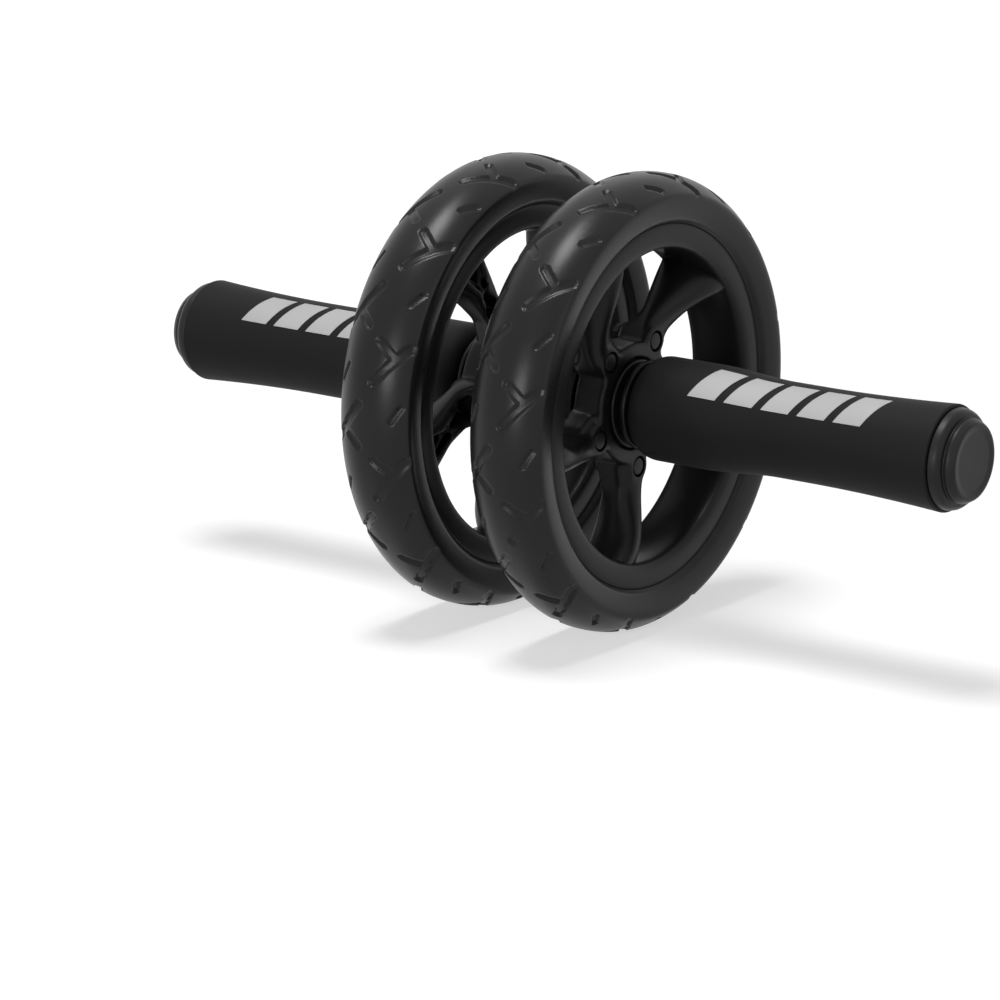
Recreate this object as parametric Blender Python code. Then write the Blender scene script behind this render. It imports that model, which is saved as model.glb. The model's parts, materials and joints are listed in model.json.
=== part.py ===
"""Twin-wheel ab roller: two five-spoked wheels turn freely on one steel axle, with a
waisted grip on each side. Metres, +Z up, axle along X, the floor at Z = 0."""
import math

import bmesh
import bpy
from mathutils import Vector

MM = 0.001

# Clearance between pieces that touch, and how far joined shapes run into each other
GAP = 0.3 * MM
OVERLAP = 0.6 * MM
MERGE_DISTANCE = 0.001 * MM
SHARP_EDGE_ANGLE = 32

# Facets round each kind of turned piece
WHEEL_FACETS = 40
GRIP_FACETS = 28
CORE_FACETS = 24
SMALL_FACETS = 16
PILLAR_FACETS = 12
SCREW_FACETS = 8

# Tyres: radius on the crown, rubber from crown to rim, width across the shoulders, fall of the crown
TYRE_RADIUS = 80.0 * MM
TYRE_DEPTH = 18.5 * MM
TYRE_HALF_WIDTH = 14.7 * MM
TYRE_CROWN_FALL = 6.4 * MM
TYRE_CROWN_POWER = 2.4
TYRE_CROWN_STEPS = 4
TYRE_CROWN_FLAT = 2.0 * MM

# Tread marks pressed into the crown: each runs from one (u, angle) to another. The marks on the
# inner half of the tread are those on the outer half, turned half round in the tread's plane.
TREAD_REPEATS = 12
TREAD_LONG_MARK = ((2.4 * MM, math.radians(25.4)), (13.6 * MM, math.radians(15.4)))
TREAD_SHORT_MARK = ((3.0 * MM, math.radians(15.0)), (8.8 * MM, math.radians(18.6)))
TREAD_DASH_MARK = ((9.2 * MM, math.radians(6.0)), (12.6 * MM, math.radians(0.5)))
TREAD_LONG_DEPTH = 0.9 * MM
TREAD_SHORT_DEPTH = 0.75 * MM
TREAD_MARK_WIDTH = 3.4 * MM
TREAD_LONG_STEPS = 2
TREAD_SHORT_STEPS = 1
TREAD_TURN_SUM = math.radians(26.6)
LEFT_TREAD_TURN = math.radians(8.6)

# Wheel rims: u is the distance outwards from the middle plane of a wheel
WHEEL_MIDDLE = 27.2 * MM
RIM_LIP_HEIGHT = 2.7 * MM
RIM_LIP_HALF_WIDTH = 12.2 * MM
RIM_LIP_THICKNESS = 1.3 * MM
RIM_LIP_ROUND = 0.4 * MM
RIM_WALL = 7.7 * MM
RIM_MOUTH_FLARE = 1.8 * MM
RIM_MOUTH_SLOPE = 2.2 * MM
RIM_MOUTH_LENGTH = 3.0 * MM

# Hub of a wheel
HUB_FACE_OFFSET = 2.8 * MM
HUB_PLATE_THICKNESS = 3.4 * MM
HUB_SKIRT_RADIUS = 21.2 * MM
HUB_SKIRT_WALL = 2.4 * MM
HUB_SKIRT_SETBACK = 0.9 * MM
HUB_RECESS_RADIUS = 16.0 * MM
HUB_RECESS_DEPTH = 4.2 * MM
HUB_TUBE_RADIUS = 12.6 * MM
HUB_INNER_OFFSET = 10.2 * MM

# Spokes, measured from the screw pillar at the root of each; angles grow against the clock
SPOKE_COUNT = 5
SPOKE_WALL = 1.8 * MM
SPOKE_START_RADIUS = 19.3 * MM
SPOKE_ROOT_RADIUS = 26.0 * MM
SPOKE_WAIST_RADIUS = 31.0 * MM
SPOKE_ROOT_WIDTH = 7.0 * MM
SPOKE_ROOT_SWEEP = math.radians(-2.5)
SPOKE_TIP_WIDTH = 21.5 * MM
SPOKE_TIP_SWEEP = math.radians(-14.0)
SPOKE_TIP_RISE = 2.5 * MM
SPOKE_RISE_POWER = 3
SPOKE_LEAD_FLARE = 5.0 * MM
SPOKE_LEAD_FLARE_END = 34.0 * MM
SPOKE_LEAD_DEPTH = 12.5 * MM
SPOKE_TRAIL_DEPTH = 8.0 * MM
SPOKE_LEAD_ROUND = 3.2 * MM
SPOKE_LEAD_ROUND_SHARE = 0.7
SPOKE_LEAD_ROUND_CUT = 0.3
SPOKE_TRAIL_ROUND = 1.0 * MM
SPOKE_STATIONS = 5
RIB_THICKNESS = 1.4 * MM
RIB_CROSS_START = 35.0 * MM

# How far each wheel has rolled, seen from its own outer side
RIGHT_WHEEL_TURN = math.radians(60.0)
LEFT_WHEEL_TURN = math.radians(69.0)

# Screws that hold the bearing cap to the hub
SCREW_CIRCLE_RADIUS = 23.0 * MM
PILLAR_RADIUS = 5.4 * MM
SCREW_RECESS_RADIUS = 3.8 * MM
SCREW_RECESS_DEPTH = 2.4 * MM
SCREW_HEAD_RADIUS = 2.9 * MM
SCREW_HEAD_HEIGHT = 1.6 * MM
SCREW_HEAD_ROUND = 0.4 * MM
SCREW_SHANK_RADIUS = 1.6 * MM
CAP_PLATE_THICKNESS = 2.6 * MM
CAP_PLATE_RADIUS = 20.9 * MM
CAP_LUG_RADIUS = 4.6 * MM

# Axle, bushes, washers and the spacer between the wheels
AXLE_RADIUS = 6.0 * MM
AXLE_END_CLEARANCE = 1.3 * MM
BUSH_WALL = 1.8 * MM
BUSH_SPACING = 1.0 * MM
BUSH_FLANGE_RADIUS = 11.0 * MM
BUSH_FLANGE_THICKNESS = 1.2 * MM
THRUST_WASHER_RADIUS = 11.4 * MM
THRUST_WASHER_THICKNESS = 1.0 * MM
SPACER_RADIUS = 9.5 * MM

# Handle core: the stiff sleeve under the grip, with two rings showing next to the wheel
NECK_RING_RADIUS = 14.0 * MM
NECK_RING_WIDTH = 1.6 * MM
NECK_GROOVE_RADIUS = 11.0 * MM
NECK_GROOVE_WIDTH = 1.7 * MM
NECK_SECOND_RING_RADIUS = 12.6 * MM
CORE_RADIUS = 11.3 * MM
CORE_SOCKET_RADIUS = 9.3 * MM
CORE_SOCKET_DEPTH = 8.0 * MM

# Grip: a waisted sleeve with a domed inner end
GRIP_SETBACK = 2.4 * MM
GRIP_LENGTH = 120.4 * MM
GRIP_MOUTH_RADIUS = 13.2 * MM
GRIP_INNER_RADIUS = 18.15 * MM
GRIP_WAIST_RADIUS = 16.45 * MM
GRIP_OUTER_RADIUS = 18.4 * MM
GRIP_LEVEL_LENGTH = 25.8 * MM
GRIP_SLOPE_LENGTH = 30.0 * MM
GRIP_WAIST_LENGTH = 13.0 * MM
GRIP_SWELL_POWER = 1.9
GRIP_DOME_LENGTH = 7.0 * MM
GRIP_DOME_STEPS = 3
GRIP_BODY_STEPS = 8

# End cap: a flange against the grip, then a smaller disc with a shallow dish
CAP_FLANGE_RADIUS = 17.5 * MM
CAP_FLANGE_FRONT_RADIUS = 16.2 * MM
CAP_FLANGE_WIDTH = 3.4 * MM
CAP_FLANGE_BAND = 1.1 * MM
CAP_DISC_RADIUS = 14.5 * MM
CAP_GROOVE_DEPTH = 1.0 * MM
CAP_GROOVE_WIDTH = 0.7 * MM
CAP_DISC_WIDTH = 4.0 * MM
CAP_DISC_ROUND = 1.5 * MM
CAP_DISH_RADIUS = 11.0 * MM
CAP_DISH_DEPTH = 0.5 * MM
CAP_PLUG_WALL = 2.6 * MM

# Bolt and washer that clamp the handle core on the axle's end
BOLT_SHANK_RADIUS = 3.0 * MM
BOLT_LENGTH = 20.0 * MM
BOLT_HEAD_ACROSS_CORNERS = 11.0 * MM
BOLT_HEAD_HEIGHT = 3.6 * MM
BOLT_TIP_CLEARANCE = 0.6 * MM
END_WASHER_RADIUS = 8.6 * MM
END_WASHER_THICKNESS = 1.4 * MM

# Derived radii of the rim, from the tyre inwards
RIM_SEAT_RADIUS = TYRE_RADIUS - TYRE_DEPTH
RIM_LIP_RADIUS = RIM_SEAT_RADIUS + RIM_LIP_HEIGHT
RIM_BARREL_RADIUS = RIM_SEAT_RADIUS - RIM_WALL
RIM_MOUTH_RADIUS = RIM_BARREL_RADIUS + RIM_MOUTH_FLARE
SPOKE_TIP_RADIUS = (RIM_BARREL_RADIUS + RIM_SEAT_RADIUS) / 2

# Derived places, in a wheel's own frame where u is outwards from its middle plane
RIM_SEAT_HALF_WIDTH = RIM_LIP_HALF_WIDTH - RIM_LIP_THICKNESS - GAP
RIM_MOUTH_OFFSET = RIM_LIP_HALF_WIDTH - RIM_MOUTH_SLOPE
HUB_BORE_RADIUS = AXLE_RADIUS + GAP + BUSH_WALL + GAP
HUB_RECESS_FLOOR = HUB_FACE_OFFSET - HUB_RECESS_DEPTH
HUB_BACK = -HUB_INNER_OFFSET
CAP_PLATE_OUTER = HUB_BACK - GAP
CAP_PLATE_INNER = CAP_PLATE_OUTER - CAP_PLATE_THICKNESS
SCREW_HEAD_SEAT = HUB_FACE_OFFSET - SCREW_RECESS_DEPTH
BUSH_RADIUS = HUB_BORE_RADIUS - GAP
BUSH_LENGTH = (HUB_RECESS_FLOOR - CAP_PLATE_INNER - BUSH_SPACING) / 2

# Derived places along the axle, measured outwards from the middle of the object
BUSH_OUTER_FACE = WHEEL_MIDDLE + HUB_RECESS_FLOOR + GAP + BUSH_FLANGE_THICKNESS
OUTER_WASHER_START = BUSH_OUTER_FACE + GAP
CORE_START = OUTER_WASHER_START + THRUST_WASHER_THICKNESS + GAP
NECK_GROOVE_START = CORE_START + NECK_RING_WIDTH
NECK_SECOND_RING_START = NECK_GROOVE_START + NECK_GROOVE_WIDTH
NECK_END = NECK_SECOND_RING_START + NECK_RING_WIDTH
BUSH_INNER_FACE = WHEEL_MIDDLE + CAP_PLATE_INNER - GAP - BUSH_FLANGE_THICKNESS
INNER_WASHER_START = BUSH_INNER_FACE - GAP - THRUST_WASHER_THICKNESS
SPACER_HALF_LENGTH = INNER_WASHER_START - GAP
GRIP_START = NECK_END + GRIP_SETBACK
GRIP_SLOPE_END = GRIP_START + GRIP_LEVEL_LENGTH + GRIP_SLOPE_LENGTH
GRIP_WAIST_END = GRIP_SLOPE_END + GRIP_WAIST_LENGTH
GRIP_END = GRIP_START + GRIP_LENGTH
CORE_END = GRIP_END - GAP
SOCKET_FLOOR = CORE_END - CORE_SOCKET_DEPTH
AXLE_HALF_LENGTH = SOCKET_FLOOR - AXLE_END_CLEARANCE
END_WASHER_START = SOCKET_FLOOR + GAP
BOLT_HEAD_START = END_WASHER_START + END_WASHER_THICKNESS + GAP


def make_material(name, color, roughness, metallic=0.0):
    material = bpy.data.materials.new(name)
    material.use_nodes = True
    shader = material.node_tree.nodes["Principled BSDF"]
    shader.inputs["Base Color"].default_value = (*color, 1.0)
    shader.inputs["Roughness"].default_value = roughness
    shader.inputs["Metallic"].default_value = metallic
    material.diffuse_color = (*color, 1.0)
    return material


def tyre_rubber():
    return make_material("tyre_rubber", (0.028, 0.028, 0.030), 0.45)


def wheel_plastic():
    return make_material("wheel_plastic", (0.020, 0.020, 0.022), 0.40)


def grip_rubber():
    return make_material("grip_rubber", (0.030, 0.030, 0.032), 0.60)


def cap_plastic():
    return make_material("cap_plastic", (0.024, 0.024, 0.026), 0.42)


def axle_steel():
    return make_material("axle_steel", (0.62, 0.62, 0.64), 0.30, 1.0)


def bearing_plastic():
    return make_material("bearing_plastic", (0.055, 0.055, 0.058), 0.45)


def screw_steel():
    return make_material("screw_steel", (0.10, 0.10, 0.11), 0.38, 1.0)


def clear_polygon(radius, facets):
    """Radius of a polygon's corners whose flats stay at the radius given."""
    return radius / math.cos(math.pi / facets)


def running_bore(radius, facets):
    """Corner radius of a bore that runs clear of a shaft of the radius given."""
    return clear_polygon(radius + GAP, facets)


def finish(name, shape, material, parent):
    """Turn a bmesh into a shaded, named object under its parent."""
    bmesh.ops.recalc_face_normals(shape, faces=shape.faces)
    mesh = bpy.data.meshes.new(name)
    shape.to_mesh(mesh)
    shape.free()
    mesh.materials.append(material)
    shade(mesh)
    return place(name, mesh, parent)


def turn_profile(shape, profile, facets, start_turn=0.5):
    """Spin a closed outline of (x, radius) points about X, a flat facet facing down."""
    angle = 2 * math.pi / facets * start_turn
    verts = [shape.verts.new((x, r * math.sin(angle), r * math.cos(angle))) for x, r in profile]
    edges = []
    for (_, r_a), (_, r_b), a, b in zip(profile, profile[1:] + profile[:1], verts, verts[1:] + verts[:1]):
        if r_a > 0 or r_b > 0:
            edges.append(shape.edges.new((a, b)))
    bmesh.ops.spin(
        shape, geom=verts + edges, cent=(0, 0, 0), axis=(1, 0, 0),
        angle=2 * math.pi, steps=facets, use_merge=True, use_duplicate=False,
    )
    bmesh.ops.remove_doubles(shape, verts=shape.verts, dist=MERGE_DISTANCE)


def turned(name, profile, facets, material, parent):
    shape = bmesh.new()
    turn_profile(shape, profile, facets)
    return finish(name, shape, material, parent)


def tube(start, end, inner, outer):
    """Closed outline of a plain tube between two places on the axle."""
    return [(start, inner), (start, outer), (end, outer), (end, inner)]


def add_prism(shape, outline, low, high):
    """Close an outline of (y, z) points into a solid between two places along X."""
    lower = [shape.verts.new((low, y, z)) for y, z in outline]
    upper = [shape.verts.new((high, y, z)) for y, z in outline]
    shape.faces.new(lower)
    shape.faces.new(upper)
    for i in range(len(outline)):
        j = (i + 1) % len(outline)
        shape.faces.new((lower[i], lower[j], upper[j], upper[i]))


def circle_outline(centre, radius, facets):
    return [
        (centre[0] + radius * math.cos(2 * math.pi * k / facets),
         centre[1] + radius * math.sin(2 * math.pi * k / facets))
        for k in range(facets)
    ]


def polar(radius, angle):
    return radius * math.cos(angle), radius * math.sin(angle)


def spoke_angles():
    return [2 * math.pi * k / SPOKE_COUNT for k in range(SPOKE_COUNT)]


def combine(piece, cutter, operation):
    """Join or cut one object with another, then bake the result into the piece."""
    modifier = piece.modifiers.new(operation.title(), "BOOLEAN")
    modifier.operation = operation
    modifier.solver = "EXACT"
    modifier.object = cutter
    bpy.context.view_layer.update()
    graph = bpy.context.evaluated_depsgraph_get()
    mesh = bpy.data.meshes.new_from_object(piece.evaluated_get(graph))
    piece.modifiers.clear()
    old = piece.data
    piece.data = mesh
    mesh.name = piece.name
    bpy.data.meshes.remove(old)
    bpy.data.objects.remove(cutter)


def shade(mesh):
    mesh.shade_smooth()
    mesh.set_sharp_from_angle(angle=math.radians(SHARP_EDGE_ANGLE))


def shaped_mesh(piece):
    """Keep only the mesh of a finished shape, for pieces that are placed more than once."""
    mesh = piece.data
    bpy.data.objects.remove(piece)
    shade(mesh)
    return mesh


def place(name, mesh, parent, turn=0.0):
    """Put a piece on its parent's axis, turned about it."""
    piece = bpy.data.objects.new(name, mesh)
    bpy.context.collection.objects.link(piece)
    piece.parent = parent
    piece.rotation_euler = (turn, 0, 0)
    return piece


def tyre_crown(u):
    """Radius of the tyre at a distance from its middle plane."""
    return TYRE_RADIUS - TYRE_CROWN_FALL * (abs(u) / TYRE_HALF_WIDTH) ** TYRE_CROWN_POWER


def tyre_outline():
    """Tyre section: rounded crown, shoulders, sidewalls drawn in, and the foot in the rim."""
    crown = []
    for k in range(TYRE_CROWN_STEPS + 1):
        u = TYRE_CROWN_FLAT + (TYRE_HALF_WIDTH - TYRE_CROWN_FLAT) * k / TYRE_CROWN_STEPS
        crown.append((u, tyre_crown(u) if k else TYRE_RADIUS))
    foot_radius = RIM_LIP_RADIUS + GAP
    bore = RIM_SEAT_RADIUS + GAP
    foot = RIM_SEAT_HALF_WIDTH - GAP
    half = crown + [(RIM_LIP_HALF_WIDTH - GAP, foot_radius), (foot, foot_radius), (foot, bore)]
    outline = half + [(-u, r) for u, r in reversed(half)]
    return [(u, clear_polygon(r, WHEEL_FACETS)) for u, r in outline]


def crown_slope(u):
    """Slope of the crown across the tread."""
    steepest = TYRE_CROWN_FALL * TYRE_CROWN_POWER / TYRE_HALF_WIDTH
    return -math.copysign(steepest * (abs(u) / TYRE_HALF_WIDTH) ** (TYRE_CROWN_POWER - 1), u)


def tread_point(u, angle, height):
    """A place at a height over the crown, square to its surface."""
    slope = crown_slope(u)
    level = height / math.hypot(slope, 1)
    y, z = polar(tyre_crown(u) + level, angle)
    return Vector((u - slope * level, y, z))


def mark_ring(start, end, share, depth):
    """Section across a tread mark, at a share of the way along it."""
    along = Vector((end[0] - start[0], (end[1] - start[1]) * TYRE_RADIUS))
    line = along.normalized()
    half = TREAD_MARK_WIDTH / 2
    reach = share * (along.length + 2 * half) - half
    ring = []
    for side, height in ((-half, -depth), (half, -depth), (half, depth), (-half, depth)):
        u = start[0] + line.x * reach - line.y * side
        angle = start[1] + (line.y * reach + line.x * side) / TYRE_RADIUS
        ring.append(tread_point(u, angle, height))
    return ring


def add_mark(shape, start, end, depth, steps):
    """One tread mark as a bent bar that follows the crown."""
    rings = []
    for k in range(steps + 1):
        rings.append([shape.verts.new(point) for point in mark_ring(start, end, k / steps, depth)])
    shape.faces.new(rings[0])
    shape.faces.new(rings[-1])
    for first, second in zip(rings, rings[1:]):
        for i in range(len(first)):
            j = (i + 1) % len(first)
            shape.faces.new((first[i], first[j], second[j], second[i]))


def add_marks(shape, mark, depth, steps, turn):
    """The same mark all round both halves of the tread."""
    for k in range(TREAD_REPEATS):
        shift = turn + 2 * math.pi * k / TREAD_REPEATS
        outer = [(u, angle + shift) for u, angle in mark]
        inner = [(-u, TREAD_TURN_SUM - angle + shift) for u, angle in mark]
        add_mark(shape, *outer, depth, steps)
        add_mark(shape, *inner, depth, steps)
    bmesh.ops.triangulate(shape, faces=shape.faces)


def build_tyre(side, hub, tread_turn):
    """Turned tyre with the tread marks cut into its crown."""
    tyre = turned(f"tyre_{side}", tyre_outline(), WHEEL_FACETS, MATERIALS["tyre_rubber"], None)
    for mark, depth, steps in (
        (TREAD_LONG_MARK, TREAD_LONG_DEPTH, TREAD_LONG_STEPS),
        (TREAD_SHORT_MARK, TREAD_SHORT_DEPTH, TREAD_SHORT_STEPS),
        (TREAD_DASH_MARK, TREAD_SHORT_DEPTH, TREAD_SHORT_STEPS),
    ):
        combine(tyre, guide(add_marks, mark, depth, steps, tread_turn), "DIFFERENCE")
    shade(tyre.data)
    tyre.parent = hub


def rim_outline():
    """Rim section: tyre seat between two lips, rounded mouth on each face, plain barrel."""
    half = [
        (RIM_SEAT_HALF_WIDTH, RIM_SEAT_RADIUS),
        (RIM_SEAT_HALF_WIDTH, RIM_LIP_RADIUS),
        (RIM_LIP_HALF_WIDTH - RIM_LIP_ROUND, RIM_LIP_RADIUS),
        (RIM_LIP_HALF_WIDTH, (RIM_LIP_RADIUS + RIM_SEAT_RADIUS) / 2),
        (RIM_LIP_HALF_WIDTH - RIM_LIP_ROUND, (RIM_SEAT_RADIUS + RIM_MOUTH_RADIUS) / 2),
        (RIM_MOUTH_OFFSET, RIM_MOUTH_RADIUS),
        (RIM_MOUTH_OFFSET - RIM_MOUTH_LENGTH, RIM_BARREL_RADIUS),
    ]
    return half + [(-u, r) for u, r in reversed(half)]


def hub_outline():
    """Hub section: tube round the bushes, sunk washer seat, and a deep skirt round them."""
    recess_back = HUB_RECESS_FLOOR - HUB_PLATE_THICKNESS
    skirt_back = HUB_BACK + HUB_SKIRT_SETBACK
    skirt_inside = HUB_SKIRT_RADIUS - HUB_SKIRT_WALL
    bore = clear_polygon(HUB_BORE_RADIUS, CORE_FACETS)
    return [
        (HUB_BACK, bore),
        (HUB_BACK, HUB_TUBE_RADIUS),
        (recess_back, HUB_TUBE_RADIUS),
        (recess_back, skirt_inside),
        (skirt_back, skirt_inside),
        (skirt_back, HUB_SKIRT_RADIUS),
        (HUB_FACE_OFFSET, HUB_SKIRT_RADIUS),
        (HUB_FACE_OFFSET, HUB_RECESS_RADIUS),
        (HUB_RECESS_FLOOR, HUB_RECESS_RADIUS),
        (HUB_RECESS_FLOOR, bore),
    ]


def spoke_reach(radius):
    """How far out a place is on a spoke: 0 at the root, 1 at the rim's barrel."""
    return (radius - SPOKE_ROOT_RADIUS) / (RIM_BARREL_RADIUS - SPOKE_ROOT_RADIUS)


def spoke_half_width(radius):
    """Even up to the waist, then fanning out to the rim."""
    fan = max((radius - SPOKE_WAIST_RADIUS) / (RIM_BARREL_RADIUS - SPOKE_WAIST_RADIUS), 0.0)
    return (SPOKE_ROOT_WIDTH + (SPOKE_TIP_WIDTH - SPOKE_ROOT_WIDTH) * fan) / 2


def spoke_lead_half_width(radius):
    """The leading side also flares into the hub."""
    near = max((SPOKE_LEAD_FLARE_END - radius) / (SPOKE_LEAD_FLARE_END - SPOKE_START_RADIUS), 0.0)
    return spoke_half_width(radius) + SPOKE_LEAD_FLARE * near ** 2


def spoke_sweep(radius):
    """Angle of the spoke's middle from its screw pillar."""
    return SPOKE_ROOT_SWEEP + (SPOKE_TIP_SWEEP - SPOKE_ROOT_SWEEP) * spoke_reach(radius)


def spoke_face(radius):
    """The face lies flush with the hub and rises towards the rim."""
    reach = max(spoke_reach(radius), 0.0)
    return HUB_FACE_OFFSET - OVERLAP / 2 + SPOKE_TIP_RISE * reach ** SPOKE_RISE_POWER


def spoke_section(radius):
    """Channel section of a spoke as (side, u): its open back faces the middle of the object."""
    half = spoke_half_width(radius)
    edge = spoke_lead_half_width(radius)
    face = spoke_face(radius)
    lead_back = HUB_FACE_OFFSET - SPOKE_LEAD_DEPTH
    trail_back = HUB_FACE_OFFSET - SPOKE_TRAIL_DEPTH
    lead = min(SPOKE_LEAD_ROUND, half * SPOKE_LEAD_ROUND_SHARE)
    cut = lead * SPOKE_LEAD_ROUND_CUT
    trail = SPOKE_TRAIL_ROUND
    return [
        (-half, trail_back),
        (-half, face - trail),
        (-half + trail, face),
        (edge - lead, face),
        (edge - cut, face - cut),
        (edge, face - lead),
        (edge, lead_back),
        (edge - SPOKE_WALL, lead_back),
        (edge - SPOKE_WALL, face - lead),
        (edge - lead, face - SPOKE_WALL),
        (-half + SPOKE_WALL, face - SPOKE_WALL),
        (-half + SPOKE_WALL, trail_back),
    ]


def spoke_point(radius, side, u, angle):
    y, z = polar(radius, angle + spoke_sweep(radius) + side / radius)
    return Vector((u, y, z))


def add_spoke(shape, angle):
    """Loft the channel section from the hub to the inside of the rim."""
    radii = [SPOKE_START_RADIUS]
    for k in range(SPOKE_STATIONS):
        step = (SPOKE_TIP_RADIUS - SPOKE_ROOT_RADIUS) * k / (SPOKE_STATIONS - 1)
        radii.append(SPOKE_ROOT_RADIUS + step)
    rings = []
    for radius in radii:
        section = spoke_section(radius)
        rings.append([shape.verts.new(spoke_point(radius, side, u, angle)) for side, u in section])
    shape.faces.new(rings[0])
    shape.faces.new(rings[-1])
    for inner, outer in zip(rings, rings[1:]):
        for i in range(len(inner)):
            j = (i + 1) % len(inner)
            shape.faces.new((inner[i], inner[j], outer[j], outer[i]))


def add_rib(shape, angle, start_side, end_side):
    """One arm of the cross behind a spoke, from wall to wall."""
    start_radius = RIB_CROSS_START
    end_radius = RIM_BARREL_RADIUS
    start_half = spoke_half_width(start_radius) - SPOKE_WALL / 2
    end_half = spoke_half_width(end_radius) - SPOKE_WALL / 2
    start = spoke_point(start_radius, start_side * start_half, 0, angle)
    end = spoke_point(end_radius, end_side * end_half, 0, angle)
    along = (end - start).normalized()
    across = Vector((0, -along.z, along.y)) * RIB_THICKNESS / 2
    corners = [start - across, end - across, end + across, start + across]
    low = HUB_FACE_OFFSET - SPOKE_TRAIL_DEPTH + GAP
    high = spoke_face(start_radius) - SPOKE_WALL / 2
    add_prism(shape, [(corner.y, corner.z) for corner in corners], low, high)


def add_pillar(shape, angle):
    centre = polar(SCREW_CIRCLE_RADIUS, angle)
    add_prism(shape, circle_outline(centre, PILLAR_RADIUS, PILLAR_FACETS), HUB_BACK, HUB_FACE_OFFSET)


def guide(adder, *sizes):
    """A helper solid that is joined to a piece or cut from it."""
    shape = bmesh.new()
    adder(shape, *sizes)
    return finish("guide", shape, MATERIALS["wheel_plastic"], None)


def add_screw_circle(shape, radius, low, high, facets):
    """Five pins on the screw circle, to cut the screws' holes and head recesses."""
    for angle in spoke_angles():
        centre = polar(SCREW_CIRCLE_RADIUS, angle)
        add_prism(shape, circle_outline(centre, radius, facets), low, high)


def wheel_rim_mesh():
    """Rim, five channel spokes with crossed ribs behind, and the hub: one moulding."""
    rim = turned("guide", rim_outline(), WHEEL_FACETS, MATERIALS["wheel_plastic"], None)
    for angle in spoke_angles():
        combine(rim, guide(add_spoke, angle), "UNION")
        combine(rim, guide(add_pillar, angle), "UNION")
        combine(rim, guide(add_rib, angle, -1, 1), "UNION")
        combine(rim, guide(add_rib, angle, 1, -1), "UNION")
    combine(rim, turned("guide", hub_outline(), CORE_FACETS, MATERIALS["wheel_plastic"], None), "UNION")
    shank = SCREW_SHANK_RADIUS + GAP
    back = HUB_BACK - OVERLAP
    front = HUB_FACE_OFFSET + OVERLAP
    combine(rim, guide(add_screw_circle, shank, back, front, SCREW_FACETS), "DIFFERENCE")
    heads = guide(add_screw_circle, SCREW_RECESS_RADIUS, SCREW_HEAD_SEAT, front, PILLAR_FACETS)
    combine(rim, heads, "DIFFERENCE")
    return shaped_mesh(rim)


def add_lug(shape, angle, low, high):
    centre = polar(SCREW_CIRCLE_RADIUS, angle)
    add_prism(shape, circle_outline(centre, CAP_LUG_RADIUS, PILLAR_FACETS), low, high)


def bearing_cap_mesh():
    """Plate on the inner face of the hub, with a lug for each screw."""
    bore = clear_polygon(HUB_BORE_RADIUS, CORE_FACETS)
    plate = tube(CAP_PLATE_INNER, CAP_PLATE_OUTER, bore, CAP_PLATE_RADIUS)
    cap = turned("guide", plate, CORE_FACETS, MATERIALS["wheel_plastic"], None)
    low = CAP_PLATE_INNER + GAP
    high = CAP_PLATE_OUTER - GAP
    for angle in spoke_angles():
        combine(cap, guide(add_lug, angle, low, high), "UNION")
    shank = SCREW_SHANK_RADIUS + GAP
    low = CAP_PLATE_INNER - OVERLAP
    high = CAP_PLATE_OUTER + OVERLAP
    combine(cap, guide(add_screw_circle, shank, low, high, SCREW_FACETS), "DIFFERENCE")
    return shaped_mesh(cap)


def hub_screw_mesh():
    """Pan-head screw: its head sunk in the hub's face, its shank through the bearing cap."""
    seat = SCREW_HEAD_SEAT + GAP
    top = seat + SCREW_HEAD_HEIGHT
    profile = [
        (CAP_PLATE_INNER, 0), (CAP_PLATE_INNER, SCREW_SHANK_RADIUS), (seat, SCREW_SHANK_RADIUS),
        (seat, SCREW_HEAD_RADIUS), (top - SCREW_HEAD_ROUND, SCREW_HEAD_RADIUS),
        (top, SCREW_HEAD_RADIUS - SCREW_HEAD_ROUND), (top, 0),
    ]
    return shaped_mesh(turned("guide", profile, SCREW_FACETS, MATERIALS["screw_steel"], None))


def build_bushes(side, hub):
    """Flanged plastic bush pressed into each end of the hub; the axle runs in both."""
    bore = running_bore(AXLE_RADIUS, SMALL_FACETS)
    outer = BUSH_RADIUS
    flange = HUB_RECESS_FLOOR + GAP
    outer_bush = [
        (flange - BUSH_LENGTH, bore), (flange - BUSH_LENGTH, outer), (flange, outer),
        (flange, BUSH_FLANGE_RADIUS), (flange + BUSH_FLANGE_THICKNESS, BUSH_FLANGE_RADIUS),
        (flange + BUSH_FLANGE_THICKNESS, bore),
    ]
    turned(f"outer_bush_{side}", outer_bush, SMALL_FACETS, MATERIALS["bearing_plastic"], hub)
    flange = CAP_PLATE_INNER - GAP
    inner_bush = [
        (flange - BUSH_FLANGE_THICKNESS, bore), (flange - BUSH_FLANGE_THICKNESS, BUSH_FLANGE_RADIUS),
        (flange, BUSH_FLANGE_RADIUS), (flange, outer), (flange + BUSH_LENGTH, outer),
        (flange + BUSH_LENGTH, bore),
    ]
    turned(f"inner_bush_{side}", inner_bush, SMALL_FACETS, MATERIALS["bearing_plastic"], hub)


def build_wheel(side, direction, turn, tread_turn, meshes):
    """One wheel about its own axle line; its frame's +X points outwards from the object."""
    hub = bpy.data.objects.new(f"wheel_line_{side}", None)
    bpy.context.collection.objects.link(hub)
    hub.location = (direction * WHEEL_MIDDLE, 0, TYRE_RADIUS)
    hub.rotation_euler = (0, 0, 0 if direction > 0 else math.pi)
    build_tyre(side, hub, tread_turn)
    place(f"wheel_rim_{side}", meshes["rim"], hub, turn)
    place(f"bearing_cap_{side}", meshes["cap"], hub, turn)
    for number, angle in enumerate(spoke_angles(), 1):
        screw = place(f"hub_screw_{side}_{number}", meshes["screw"], hub)
        screw.location = (0, *polar(SCREW_CIRCLE_RADIUS, angle + turn))
    build_bushes(side, hub)


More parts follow.
